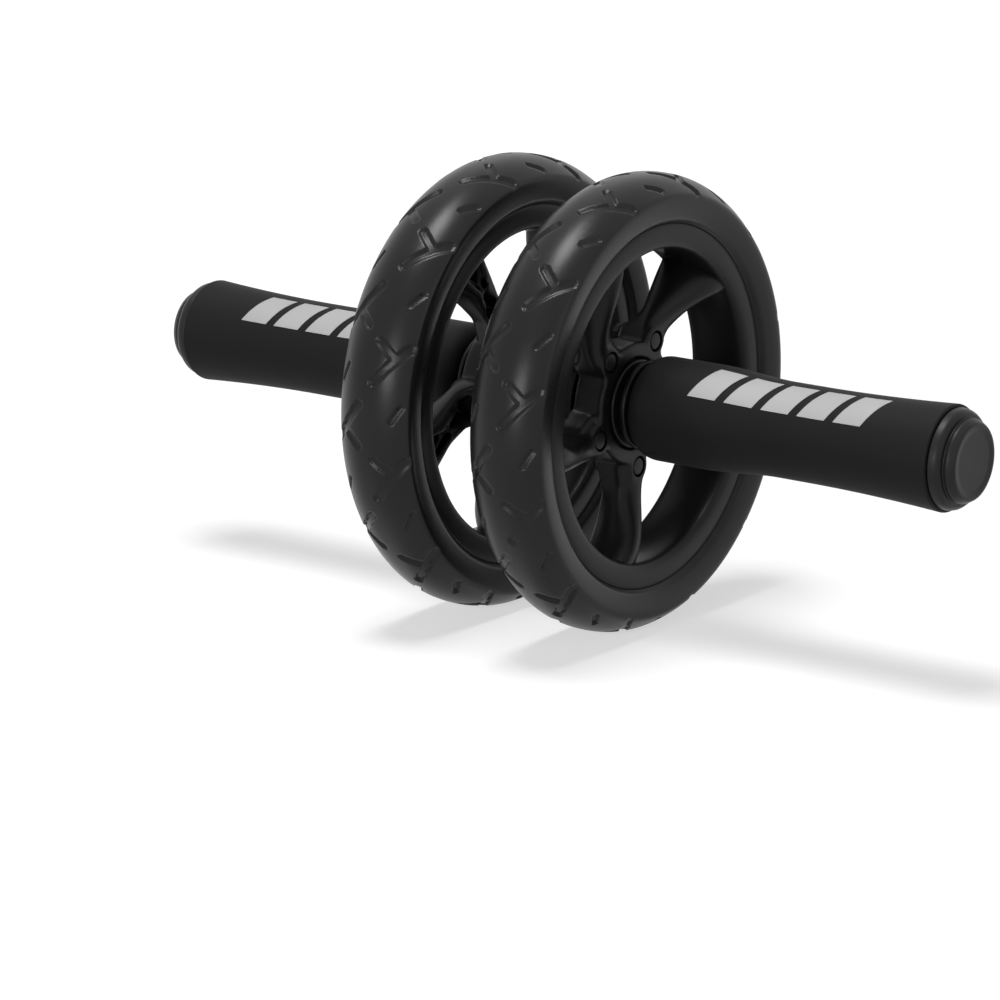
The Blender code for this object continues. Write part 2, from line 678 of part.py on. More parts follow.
def build_axle(line):
    """Steel rod with a threaded blind hole in each end for the handle's bolt."""
    hole = clear_polygon(BOLT_SHANK_RADIUS + GAP, SMALL_FACETS)
    depth = AXLE_HALF_LENGTH - (BOLT_HEAD_START - BOLT_LENGTH) + BOLT_TIP_CLEARANCE
    bottom = AXLE_HALF_LENGTH - depth
    outline = [
        (-bottom, 0), (-bottom, hole), (-AXLE_HALF_LENGTH, hole), (-AXLE_HALF_LENGTH, AXLE_RADIUS),
        (AXLE_HALF_LENGTH, AXLE_RADIUS), (AXLE_HALF_LENGTH, hole), (bottom, hole), (bottom, 0),
    ]
    turned("axle_rod", outline, SMALL_FACETS, MATERIALS["axle_steel"], line)


def build_centre_spacer(line):
    """Sleeve on the axle that keeps the two wheels apart."""
    bore = running_bore(AXLE_RADIUS, SMALL_FACETS)
    outline = tube(-SPACER_HALF_LENGTH, SPACER_HALF_LENGTH, bore, SPACER_RADIUS)
    turned("centre_spacer", outline, SMALL_FACETS, MATERIALS["wheel_plastic"], line)


def build_thrust_washers(side, line):
    bore = running_bore(AXLE_RADIUS, SMALL_FACETS)
    for name, start in (("inner", INNER_WASHER_START), ("outer", OUTER_WASHER_START)):
        outline = tube(start, start + THRUST_WASHER_THICKNESS, bore, THRUST_WASHER_RADIUS)
        turned(f"{name}_thrust_washer_{side}", outline, SMALL_FACETS, MATERIALS["bearing_plastic"], line)


def build_handle_core(side, line):
    """Stiff sleeve on the axle: two rings next to the wheel, a plain body, an end socket."""
    bore = running_bore(AXLE_RADIUS, CORE_FACETS)
    outline = [
        (CORE_START, bore), (CORE_START, NECK_RING_RADIUS), (NECK_GROOVE_START, NECK_RING_RADIUS),
        (NECK_GROOVE_START, NECK_GROOVE_RADIUS), (NECK_SECOND_RING_START, NECK_GROOVE_RADIUS),
        (NECK_SECOND_RING_START, NECK_SECOND_RING_RADIUS), (NECK_END, NECK_SECOND_RING_RADIUS),
        (NECK_END, CORE_RADIUS), (CORE_END, CORE_RADIUS), (CORE_END, CORE_SOCKET_RADIUS),
        (SOCKET_FLOOR, CORE_SOCKET_RADIUS), (SOCKET_FLOOR, bore),
    ]
    turned(f"handle_core_{side}", outline, CORE_FACETS, MATERIALS["wheel_plastic"], line)


def grip_radius(x):
    """Outline outwards from the dome: level, down to the waist, then swelling to the end."""
    if x < GRIP_WAIST_END:
        share = min(max((GRIP_SLOPE_END - x) / GRIP_SLOPE_LENGTH, 0.0), 1.0)
        ease = share * share * (3 - 2 * share)
        return GRIP_WAIST_RADIUS + (GRIP_INNER_RADIUS - GRIP_WAIST_RADIUS) * ease
    share = (x - GRIP_WAIST_END) / (GRIP_END - GRIP_WAIST_END)
    return GRIP_WAIST_RADIUS + (GRIP_OUTER_RADIUS - GRIP_WAIST_RADIUS) * share ** GRIP_SWELL_POWER


def build_grip(side, line):
    """Soft sleeve over the core, with a domed end next to the wheel."""
    bore = clear_polygon(CORE_RADIUS + GAP, CORE_FACETS)
    outline = [(GRIP_START, bore)]
    for k in range(GRIP_DOME_STEPS):
        turn = math.pi / 2 * k / GRIP_DOME_STEPS
        rise = GRIP_INNER_RADIUS - GRIP_MOUTH_RADIUS
        x = GRIP_START + GRIP_DOME_LENGTH * (1 - math.cos(turn))
        outline.append((x, GRIP_MOUTH_RADIUS + rise * math.sin(turn)))
    start = GRIP_START + GRIP_DOME_LENGTH
    for k in range(GRIP_BODY_STEPS + 1):
        x = start + (GRIP_END - start) * k / GRIP_BODY_STEPS
        outline.append((x, grip_radius(x)))
    outline.append((GRIP_END, bore))
    turned(f"grip_{side}", outline, GRIP_FACETS, MATERIALS["grip_rubber"], line)


def build_end_cap(side, line):
    """Stepped cap: a plug in the core's socket, a flange on the grip, and a dished disc."""
    plug_start = END_WASHER_START + END_WASHER_THICKNESS + GAP
    plug_radius = CORE_SOCKET_RADIUS - GAP
    plug_inner = plug_radius - CAP_PLUG_WALL
    flange_start = GRIP_END + GAP
    flange_end = flange_start + CAP_FLANGE_WIDTH
    disc_start = flange_end + CAP_GROOVE_WIDTH
    disc_end = disc_start + CAP_DISC_WIDTH
    groove = CAP_DISC_RADIUS - CAP_GROOVE_DEPTH
    outline = [
        (plug_start, plug_inner), (plug_start, plug_radius), (flange_start, plug_radius),
        (flange_start, CAP_FLANGE_RADIUS), (flange_end - CAP_FLANGE_BAND, CAP_FLANGE_FRONT_RADIUS),
        (flange_end, CAP_FLANGE_FRONT_RADIUS), (flange_end, groove), (disc_start, groove),
        (disc_start, CAP_DISC_RADIUS), (disc_end - CAP_DISC_ROUND, CAP_DISC_RADIUS),
        (disc_end, CAP_DISC_RADIUS - CAP_DISC_ROUND), (disc_end, CAP_DISH_RADIUS),
        (disc_end - CAP_DISH_DEPTH, CAP_DISH_RADIUS - CAP_DISC_ROUND), (disc_end - CAP_DISH_DEPTH, 0),
        (flange_start, 0), (flange_start, plug_inner),
    ]
    turned(f"end_cap_{side}", outline, GRIP_FACETS, MATERIALS["cap_plastic"], line)


def build_end_fixing(side, line):
    """Washer and hexagon bolt that hold the handle core on the axle."""
    bore = clear_polygon(BOLT_SHANK_RADIUS + GAP, SMALL_FACETS)
    washer = tube(END_WASHER_START, END_WASHER_START + END_WASHER_THICKNESS, bore, END_WASHER_RADIUS)
    turned(f"end_washer_{side}", washer, SMALL_FACETS, MATERIALS["screw_steel"], line)
    head = BOLT_HEAD_START
    shank = [
        (head - BOLT_LENGTH, 0), (head - BOLT_LENGTH, BOLT_SHANK_RADIUS),
        (head + OVERLAP, BOLT_SHANK_RADIUS), (head + OVERLAP, 0),
    ]
    bolt = turned(f"end_bolt_{side}", shank, SMALL_FACETS, MATERIALS["screw_steel"], None)
    hexagon = circle_outline((0, 0), BOLT_HEAD_ACROSS_CORNERS / 2, 6)
    combine(bolt, guide(add_prism, hexagon, head, head + BOLT_HEAD_HEIGHT), "UNION")
    shade(bolt.data)
    bolt.parent = line


def build_handle(side, direction):
    """Everything that stays still on one side of the axle, laid out outwards along +X."""
    line = bpy.data.objects.new(f"handle_line_{side}", None)
    bpy.context.collection.objects.link(line)
    line.location = (0, 0, TYRE_RADIUS)
    line.rotation_euler = (0, 0, 0 if direction > 0 else math.pi)
    build_thrust_washers(side, line)
    build_handle_core(side, line)
    build_grip(side, line)
    build_end_cap(side, line)
    build_end_fixing(side, line)


def build_middle():
    line = bpy.data.objects.new("axle_line", None)
    bpy.context.collection.objects.link(line)
    line.location = (0, 0, TYRE_RADIUS)
    build_axle(line)
    build_centre_spacer(line)


for old_object in list(bpy.data.objects):
    bpy.data.objects.remove(old_object)

MATERIALS = {
    maker.__name__: maker()
    for maker in (
        tyre_rubber, wheel_plastic, grip_rubber, cap_plastic, axle_steel, bearing_plastic, screw_steel,
    )
}

WHEEL_MESHES = {"rim": wheel_rim_mesh(), "cap": bearing_cap_mesh(), "screw": hub_screw_mesh()}

build_middle()
build_wheel("right", 1, RIGHT_WHEEL_TURN, 0.0, WHEEL_MESHES)
build_wheel("left", -1, LEFT_WHEEL_TURN, LEFT_TREAD_TURN, WHEEL_MESHES)
build_handle("right", 1)
build_handle("left", -1)
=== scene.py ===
"""Ab roller: tyres with moulded tread marks, spoked rims, waisted grips and end caps."""
import json
import math

import bmesh
import bpy
import numpy as np
from mathutils import Matrix, Vector


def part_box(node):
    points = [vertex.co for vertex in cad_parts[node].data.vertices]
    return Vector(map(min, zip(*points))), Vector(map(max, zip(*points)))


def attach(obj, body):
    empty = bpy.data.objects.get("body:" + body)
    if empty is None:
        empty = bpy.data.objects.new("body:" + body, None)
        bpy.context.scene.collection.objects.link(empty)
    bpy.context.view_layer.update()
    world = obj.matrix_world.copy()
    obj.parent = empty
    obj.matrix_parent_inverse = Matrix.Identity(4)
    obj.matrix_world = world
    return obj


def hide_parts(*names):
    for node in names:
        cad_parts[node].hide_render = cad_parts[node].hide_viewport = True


bl_info = {
    "name": "Ab Roller",
    "version": (1, 0, 0),
    "blender": (4, 5, 0),
    "location": "View3D > Sidebar > Ab Roller",
    "description": "Dresses the frame of a twin-wheel ab roller and sets it on a studio floor",
    "category": "Object",
}

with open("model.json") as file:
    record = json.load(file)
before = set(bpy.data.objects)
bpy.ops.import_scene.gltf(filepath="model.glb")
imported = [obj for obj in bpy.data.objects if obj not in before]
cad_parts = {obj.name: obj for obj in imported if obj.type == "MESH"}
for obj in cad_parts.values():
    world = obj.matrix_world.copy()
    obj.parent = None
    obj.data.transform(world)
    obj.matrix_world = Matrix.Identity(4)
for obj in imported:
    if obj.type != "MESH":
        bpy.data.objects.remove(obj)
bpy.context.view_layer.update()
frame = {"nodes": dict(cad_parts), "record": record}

MM = 0.001
SIDES = {"right": 1, "left": -1}
JOINTS = {joint["name"]: joint for joint in frame["record"]["behaviour"]["joints"]}
WHEEL_MIDDLE, _, AXLE_HEIGHT = JOINTS["wheel_right_spin"]["pos_m"]
WHEEL_RADIUS = AXLE_HEIGHT
HALF_LENGTH = 165.0 * MM
AXLE_HOLE = 6.4 * MM
HUB_BACK = -10.2 * MM
MAIN_EDGE, SMALL_EDGE = math.radians(50), math.radians(40)
GRIP_RADII = ("Inner Radius", "Waist Radius", "Outer Radius")
GRIP_SIZES = ("Start", "End", "Mouth Radius", *GRIP_RADII, "Dome")
PATCH_SIZES = ("Patch Pitch", "Patch Width", "Patch Lean", "Patch Low", "Patch High", *GRIP_RADII)

# Grain scales are per metre, bumps in millimetres.
RUBBER = {"fineness": 1900.0, "waviness": 45.0, "bump_mm": 0.05, "specular": 0.2}
GRIP_FOAM = {
    "fineness": 2600.0, "waviness": 70.0, "bump_mm": 0.10, "shade": 0.16, "specular": 0.1,
}
PALE_PATCH = {"fineness": 2600.0, "bump_mm": 0.04, "shade": 0.06, "scuffs": 0.15}
SATIN_PLASTIC = {"fineness": 2800.0, "waviness": 50.0, "bump_mm": 0.025, "specular": 0.16}
DRAWN_STEEL = {
    "fineness": 900.0, "bump_mm": 0.01, "shade": 0.05, "scuffs": 0.2, "specular": 0.5,
    "metallic": 1.0,
}
BEARING_COLOUR = (0.03, 0.03, 0.031)
DARK_STEEL_COLOUR = (0.10, 0.10, 0.11)

# Half of the rim's section in millimetres: tyre seat, rounded lip and barrel.
RIM_HALF = (
    (3.0, 61.4), (6.0, 61.4), (9.0, 61.4), (10.1, 61.4), (10.35, 61.7), (10.55, 63.2),
    (10.75, 63.75), (11.15, 63.95), (11.5, 63.7), (11.75, 63.0), (11.9, 61.6), (11.9, 59.6),
    (11.8, 57.8), (11.6, 56.5), (11.25, 55.65), (10.5, 55.05), (9.4, 54.65), (8.0, 54.35),
    (6.0, 54.1), (3.0, 53.9),
)

CAMERA_AIM = Vector((-0.0125, -0.0207, 0.0430))
LAMP_AIM = Vector((0, 0, 0.08))
# Each lamp's place, its two widths and its share of the lamp power.
LAMPS = {
    "overhead_lamp": ((-0.10, -0.20, 1.5), (0.6, 0.5), 1.0),
    "front_lamp": ((0.30, -1.60, 0.42), (0.6, 0.45), 0.55),
    "side_lamp": ((1.5, -0.3, 0.75), (0.9, 0.9), 0.1),
}


def number(name, default, description, **options):
    """A number, with any unit, subtype or limits that it needs."""
    return bpy.props.FloatProperty(
        name=name, description=description, default=default, **options,
    )


def length(name, default_mm, description):
    """A size given in millimetres and kept in metres."""
    return number(name, default_mm * MM, description, unit="LENGTH", precision=5)


def angle(name, default_degrees, description):
    """An angle given in degrees and kept in radians."""
    return number(name, math.radians(default_degrees), description, subtype="ANGLE")


def share(name, default, description):
    """A share from 0 to 1."""
    return number(name, default, description, subtype="FACTOR", min=0, max=1)


def colour(name, default, description):
    """A linear colour."""
    return bpy.props.FloatVectorProperty(
        name=name, description=description, default=default, subtype="COLOR", size=3,
        min=0, max=1,
    )


def count(name, default, description):
    """A number of pieces, at least one."""
    return bpy.props.IntProperty(name=name, description=description, default=default, min=1)


def group_of(kind, name, description):
    """The settings of one group of pieces."""
    return bpy.props.PointerProperty(type=kind, name=name, description=description)


class TyreSettings(bpy.types.PropertyGroup):
    """Sizes and look of the two tyres."""
    half_width: length("Half Width", 14.7, "From the middle plane to the shoulder")
    crown_fall: length("Crown Fall", 6.4, "How much lower the shoulder is than the crown")
    foot_radius: length("Foot Radius", 64.9, "Where the sidewall meets the rim's lip")
    foot_half_width: length("Foot Half Width", 13.3, "Half the width at the rim's lip")
    mark_width: length("Mark Width", 3.4, "Width of a moulded tread mark")
    dash_width: length("Dash Width", 2.0, "Width of the short mark at the shoulder")
    mark_depth: length("Mark Depth", 0.9, "Depth of a moulded tread mark")
    mark_repeats: count("Mark Repeats", 12, "How often the tread marks repeat round a tyre")
    left_turn: angle("Left Turn", -21.4, "How far the left tread is turned against the right one")
    colour: colour("Colour", (0.008, 0.008, 0.0085), "Colour of the rubber")
    roughness: share("Roughness", 0.31, "Roughness of the moulded rubber")


class RimSettings(bpy.types.PropertyGroup):
    """Sizes and look of the two wheel rims."""
    spokes: count("Spokes", 5, "Number of spokes and of hub screws")
    right_turn: angle("Right Turn", 60, "How far the right wheel has rolled")
    left_turn: angle("Left Turn", 69, "How far the left wheel has rolled, seen from its outer side")
    face: length("Face", 2.8, "How far the hub's face lies outside the wheel's middle plane")
    crest_rise: length("Crest Rise", 7.2, "How far a spoke's ridge rises from the hub to the rim")
    wall: length("Wall", 1.9, "Thickness of a spoke's walls")
    barrel_radius: length("Barrel Radius", 53.8, "Inside of the rim")
    voxel: length("Moulding Detail", 0.6, "Finest detail of the moulded star of spokes")
    colour: colour("Colour", (0.007, 0.007, 0.0075), "Colour of the plastic")
    roughness: share("Roughness", 0.36, "Roughness of the satin plastic")


class GripSettings(bpy.types.PropertyGroup):
    """Sizes and look of the grips and their light patches."""
    start: length("Start", 36.2, "Inner end of a grip on the axle")
    end: length("End", 156.6, "Outer end of a grip on the axle")
    mouth_radius: length("Mouth Radius", 13.2, "Radius at the domed inner end")
    inner_radius: length("Inner Radius", 18.15, "Radius next to the dome")
    waist_radius: length("Waist Radius", 16.45, "Radius at the waist")
    outer_radius: length("Outer Radius", 18.35, "Radius at the outer end")
    dome: length("Dome", 6.8, "Length of the domed inner end")
    patches: count("Patches", 5, "Light patches on each grip")
    patch_pitch: length("Patch Pitch", 14.3, "Distance from patch to patch")
    patch_width: length("Patch Width", 10.8, "Width of a patch along the grip")
    patch_lean: length("Patch Lean", 6.0, "How far a patch leans along the grip")
    patch_low: angle("Patch Lower Edge", 146.5, "Angle of a patch's lower edge round the grip")
    patch_high: angle("Patch Upper Edge", 100.5, "Angle of a patch's upper edge round the grip")
    right_first: length("Right First", 60.8, "Start of the first patch on the right grip")
    left_first: length("Left First", -132.4, "Start of the first patch on the left grip")
    colour: colour("Colour", (0.010, 0.010, 0.0105), "Colour of the soft grip")
    patch_colour: colour("Patch Colour", (0.42, 0.42, 0.42), "Colour of the light patches")
    roughness: share("Roughness", 0.62, "Roughness of the soft grip")


class FittingSettings(bpy.types.PropertyGroup):
    """Sizes and look of the end caps, screws and axle."""
    cap_flange: length("Cap Flange", 17.4, "Radius of the end cap's flange")
    cap_disc: length("Cap Disc", 14.5, "Radius of the end cap's disc")
    screw_head: length("Screw Head", 3.0, "Radius of a hub screw's head")
    screw_circle: length("Screw Circle", 23.0, "Radius of the circle of hub screws")
    cap_colour: colour("Cap Colour", (0.012, 0.012, 0.0125), "Colour of the end caps")
    cap_roughness: share("Cap Roughness", 0.40, "Roughness of the end caps")
    steel_colour: colour("Steel Colour", (0.62, 0.62, 0.64), "Colour of the axle")


class StageSettings(bpy.types.PropertyGroup):
    """Camera, lamps and even light."""
    azimuth: angle("Azimuth", 35.6, "Direction of the camera round the object")
    elevation: angle("Elevation", 14.4, "Height of the camera over the floor")
    roll: angle("Roll", 0.712, "Tilt of the picture")
    distance: number("Distance", 1.7942, "From the camera to its aim", unit="LENGTH")
    lens: number("Lens", 185.76, "Focal length in millimetres")
    lamp_power: number("Lamp Power", 18.0, "Power of the overhead lamp", unit="POWER")
    sky: number("Sky", 0.1, "Strength of the even light")


class RollerSettings(bpy.types.PropertyGroup):
    """All settings of the ab roller."""
    tyre: group_of(TyreSettings, "Tyres", "Both tyres")
    rim: group_of(RimSettings, "Rims", "Both wheel rims")
    grip: group_of(GripSettings, "Grips", "Both grips and their patches")
    fitting: group_of(FittingSettings, "Fittings", "End caps, screws and axle")
    stage: group_of(StageSettings, "Stage", "Camera, lamps and even light")


def settings():
    """The ab roller's settings in the current scene."""
    return bpy.context.scene.ab_roller


def smooth_step(low, high, value):
    """0 below the low value, 1 above the high one, and an eased rise between."""
    t = np.clip((value - low) / (high - low), 0.0, 1.0)
    return t * t * (3 - 2 * t)


def side_matrix(side, offset=0.0):
    """From a side's own frame, where +X points outwards, to the whole object's frame."""
    sign = SIDES[side]
    place = Matrix.Translation((sign * offset, 0, AXLE_HEIGHT))
    return place @ Matrix.Rotation(0 if sign > 0 else math.pi, 4, "Z")


def feed(tree, node, inputs):
    """Set a node's inputs; sockets are linked, and a node stands for its first output."""
    for name, value in inputs.items():
        if isinstance(value, bpy.types.Node):
            value = value.outputs[0]
        if isinstance(value, bpy.types.NodeSocket):
            tree.links.new(value, node.inputs[name])
        else:
            node.inputs[name].default_value = value
    return node


def add_node(tree, kind, inputs=None, **values):
    """Make a node with its options, then feed its inputs."""
    node = tree.nodes.new(kind)
    for name, value in values.items():
        setattr(node, name, value)
    return feed(tree, node, inputs or {})


def math_node(tree, operation, *values, clamp=False):
    """The result of a new Math node."""
    node = add_node(
        tree, "ShaderNodeMath", dict(enumerate(values)), operation=operation, use_clamp=clamp,
    )
    return node.outputs[0]


def arithmetic(tree):
    """Functions that add, subtract and multiply with Math nodes in a tree."""
    return [
        lambda *values, word=word: math_node(tree, word, *values)
        for word in ("ADD", "SUBTRACT", "MULTIPLY")
    ]


def noise(tree, place, scale, detail, roughness=0.5):
    """A noise texture at a place."""
    return add_node(tree, "ShaderNodeTexNoise", {
        "Vector": place, "Scale": scale, "Detail": detail, "Roughness": roughness,
    })


def remap(tree, value, start=(0.0, 1.0), to=(0.0, 1.0), kind="LINEAR"):
    """A value moved from one range to another."""
    return add_node(tree, "ShaderNodeMapRange", {
        "Value": value, "From Min": start[0], "From Max": start[1],
        "To Min": to[0], "To Max": to[1],
    }, interpolation_type=kind)


def new_tree(name, kind, inputs, outputs):
    """An empty node tree, with the sockets it is given and the node its result goes to."""
    tree = bpy.data.node_groups.new(name, kind)
    for way, sockets in (("INPUT", inputs), ("OUTPUT", outputs)):
        for kind_of_socket, labels in sockets.items():
            for label in labels:
                tree.interface.new_socket(
                    name=label, in_out=way, socket_type=f"NodeSocket{kind_of_socket}",
                )
    given = tree.nodes.new("NodeGroupInput").outputs
    return tree, given, tree.nodes.new("NodeGroupOutput")


def moulded_grain():
    """Fine pebble and slow waviness of a moulded surface."""
    group, given, result = new_tree(
        "Moulded Grain", "ShaderNodeTree", {"Float": ("Fineness", "Waviness")},
        {"Float": ("Height", "Shade")},
    )
    place = add_node(group, "ShaderNodeTexCoord").outputs["Object"]
    fine = noise(group, place, given["Fineness"], 3.0, 0.6)
    slow = noise(group, place, given["Waviness"], 2.0)
    feed(group, result, {"Height": fine, "Shade": slow})
    return group


def handling_marks():
    """Thin scuffs and a little dust, as a mask from 0 to 1."""
    group, given, result = new_tree(
        "Handling Marks", "ShaderNodeTree", {"Float": ("Amount",)}, {"Float": ("Mask",)},
    )
    place = add_node(group, "ShaderNodeTexCoord").outputs["Object"]
    warp = noise(group, place, 35.0, 2.0)
    bent = add_node(group, "ShaderNodeMixRGB", {
        "Fac": 0.06, "Color1": place, "Color2": warp.outputs["Color"],
    })
    scuff = add_node(group, "ShaderNodeTexVoronoi", {
        "Vector": bent, "Scale": 90.0,
    }, feature="DISTANCE_TO_EDGE")
    thin = remap(group, scuff, (0.0, 0.02), (1.0, 0.0))
    where = remap(group, noise(group, place, 22.0, 4.0), (0.56, 0.74))
    both = math_node(group, "MULTIPLY", thin, where)
    feed(group, result, {"Mask": math_node(group, "MULTIPLY", both, given["Amount"])})
    return group


def shared_group(maker, name):
    """A node group that is made the first time it is asked for."""
    return bpy.data.node_groups.get(name) or maker()


def surface(name, base, roughness, fineness, bump_mm, waviness=60.0, shade=0.12, scuffs=0.4,
            specular=0.28, metallic=0.0):
    """A moulded or drawn surface: grain, slow shade and gloss changes, and faint scuffs."""
    material = bpy.data.materials.new(name)
    material.use_nodes = True
    material.diffuse_color = (*base, 1.0)
    tree = material.node_tree
    grain = add_node(
        tree, "ShaderNodeGroup", {"Fineness": fineness, "Waviness": waviness},
        node_tree=shared_group(moulded_grain, "Moulded Grain"),
    )
    marks = add_node(
        tree, "ShaderNodeGroup", {"Amount": scuffs},
        node_tree=shared_group(handling_marks, "Handling Marks"),
    )
    darker = (*[c * (1 - shade) for c in base], 1.0)
    lighter = (*[min(c * (1 + shade), 1.0) for c in base], 1.0)
    worn = (*[min(c * 1.5 + 0.01, 1.0) for c in base], 1.0)
    tone = add_node(tree, "ShaderNodeMixRGB", {
        "Fac": grain.outputs["Shade"], "Color1": darker, "Color2": lighter,
    })
    scuffed = add_node(tree, "ShaderNodeMixRGB", {
        "Fac": marks, "Color1": tone, "Color2": worn,
    })
    gloss_change, scuff_dullness = 0.05, 0.15
    glosses = (roughness - gloss_change, roughness + gloss_change)
    gloss = remap(tree, grain.outputs["Shade"], to=glosses)
    dull = math_node(tree, "MULTIPLY", marks, scuff_dullness)
    bump = add_node(tree, "ShaderNodeBump", {
        "Height": grain.outputs["Height"], "Strength": 0.5, "Distance": bump_mm * MM,
    })
    feed(tree, tree.nodes["Principled BSDF"], {
        "Base Color": scuffed, "Metallic": metallic, "Normal": bump,
        "Roughness": math_node(tree, "ADD", gloss, dull), "Specular IOR Level": specular,
    })
    return material


def closed_loft(name, rings, material, caps=False):
    """Skin a row of equal closed rings; without caps the last ring joins the first."""
    steps, around = len(rings), len(rings[0])
    faces = []
    for i in range(steps - 1 if caps else steps):
        here, there = i * around, (i + 1) % steps * around
        for j in range(around):
            k = (j + 1) % around
            faces.append((here + j, here + k, there + k, there + j))
    if caps:
        faces.append(tuple(range(around)))
        faces.append(tuple((steps - 1) * around + j for j in range(around)))
    mesh = bpy.data.meshes.new(name)
    mesh.from_pydata([tuple(point) for ring in rings for point in ring], [], faces)
    mesh.materials.append(material)
    mesh.validate()
    mesh.update()
    return outward(mesh)


def outward(mesh):
    """Merge doubles and turn all faces outwards."""
    shape = bmesh.new()
    shape.from_mesh(mesh)
    bmesh.ops.remove_doubles(shape, verts=shape.verts, dist=0.002 * MM)
    bmesh.ops.recalc_face_normals(shape, faces=shape.faces)
    shape.to_mesh(mesh)
    shape.free()
    mesh.shade_smooth()
    return mesh


def lathe(name, outline, segments, material):
    """Turn a closed outline of (x, radius) about X."""
    turn = np.arange(segments) * 2 * math.pi / segments
    rings = [[(x, r * math.sin(t), r * math.cos(t)) for x, r in outline] for t in turn]
    return closed_loft(name, rings, material)


def rounded(outline, radius):
    """Round the corners of a closed (x, radius) outline; corners on the axis stay sharp."""
    result = []
    size, steps, longest = len(outline), 5, 0.45
    for i in range(size):
        before, here, after = (Vector(outline[k % size]) for k in (i - 1, i, i + 1))
        if here.y < MM:
            result.append(tuple(here))
            continue
        back, ahead = before - here, after - here
        reach = min(radius, back.length * longest, ahead.length * longest)
        start = here + back.normalized() * reach
        end = here + ahead.normalized() * reach
        for k in range(steps + 1):
            t = k / steps
            result.append(tuple(start * (1 - t) ** 2 + here * 2 * t * (1 - t) + end * t * t))
    return result


def turned(name, outline, ease, segments, material, side):
    """Turn an outline with eased corners and stand it on one side of the object."""
    mesh = lathe(name, rounded(outline, ease), segments, material)
    mesh.set_sharp_from_angle(angle=MAIN_EDGE)
    mesh.transform(side_matrix(side))
    return mesh


def mirrored(half):
    """The other half of a (u, radius) outline, in running order."""
    return [(-u, r) for u, r in reversed(half)]


def new_object(name, data):
    """A new object in the scene."""
    holder = bpy.data.objects.new(name, data)
    bpy.context.collection.objects.link(holder)
    return holder


def show(name, mesh, body, replaced):
    """Put a finished mesh in the scene as a piece on a body, in place of CAD nodes."""
    piece = new_object(name, mesh)
    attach(piece, body)
    if replaced:
        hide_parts(*replaced)


def baked(piece):
    """Turn a piece and its modifiers into a plain mesh."""
    graph = bpy.context.evaluated_depsgraph_get()
    mesh = bpy.data.meshes.new_from_object(piece.evaluated_get(graph))
    piece.modifiers.clear()
    old = piece.data
    piece.data = mesh
    bpy.data.meshes.remove(old)
    return mesh


def taken(piece):
    """Bake an object that was only needed for its shape, remove it, and hand over its mesh."""
    mesh = baked(piece)
    bpy.data.objects.remove(piece)
    return mesh


def modify(piece, name, kind, **options):
    """Give a piece a modifier with its options."""
    modifier = piece.modifiers.new(name, kind)
    for option, value in options.items():
        setattr(modifier, option, value)
    return modifier


def shape_tree(name, floats, numbers):
    """An empty Geometry Nodes tree that is given floats, whole numbers and a material."""
    return new_tree(
        name, "GeometryNodeTree",
        {"Float": floats, "Int": numbers, "Material": ("Material",)},
        {"Geometry": ("Geometry",)},
    )


def point_here(tree):
    """X, Y and Z of the point that a tree is working on."""
    position = add_node(tree, "GeometryNodeInputPosition")
    return add_node(tree, "ShaderNodeSeparateXYZ", {"Vector": position}).outputs


def vector(tree, **parts):
    """A vector from the parts given, with 0 for the others."""
    return add_node(tree, "ShaderNodeCombineXYZ", parts)


def painted(tree, given, result, shape):
    """Send a tree's shape out with the given material."""
    look = add_node(tree, "GeometryNodeSetMaterial", {
        "Geometry": shape, "Material": given["Material"],
    })
    feed(tree, result, {"Geometry": look})
    return tree


def sizes_of(group, labels):
    """The settings of a group that tree inputs with these labels take."""
    return {label: getattr(group, label.lower().replace(" ", "_")) for label in labels}


def run_tree(name, tree, values, extra=()):
    """Make a mesh with a Geometry Nodes tree, then any finishing modifiers."""
    holder = new_object(name, bpy.data.meshes.new(name))
    modifier = modify(holder, "Shape", "NODES", node_group=tree)
    for label, value in values.items():
        modifier[tree.interface.items_tree[label].identifier] = value
    for kind, options in extra:
        modify(holder, kind.title(), kind, **options)
    return taken(holder)


def tread_marks(tyre):
    """Marks of one repeat as two (u, arc) ends and a width; the far half is the near one turned."""
    wide, narrow = tyre.mark_width, tyre.dash_width
    # Millimetres across the crown, then degrees round the tyre.
    near = [
        ((3.0, 15.0), (8.8, 18.6), wide),
        ((2.4, 25.4), (13.6, 15.4), wide),
        ((9.5, 4.9), (12.5, 0.9), narrow),
    ]
    twin = 26.6
    far = [((-a[0], twin - a[1]), (-b[0], twin - b[1]), width) for a, b, width in near]
    return [
        (*[(u * MM, math.radians(degrees) * WHEEL_RADIUS) for u, degrees in ends], width)
        for *ends, width in near + far
    ]


def from_mark(u, arc, start, end, repeat):
    """Distance of points from a mark's middle line, with its two parts."""
    middle = (start[1] + end[1]) / 2
    local = (arc - middle + repeat / 2) % repeat - repeat / 2 + middle
    line = (end[0] - start[0], end[1] - start[1])
    reach = (u - start[0]) * line[0] + (local - start[1]) * line[1]
    reach = np.clip(reach / (line[0] ** 2 + line[1] ** 2), 0, 1)
    gap_u, gap_arc = u - start[0] - reach * line[0], local - start[1] - reach * line[1]
    return np.hypot(gap_u, gap_arc), gap_u, gap_arc


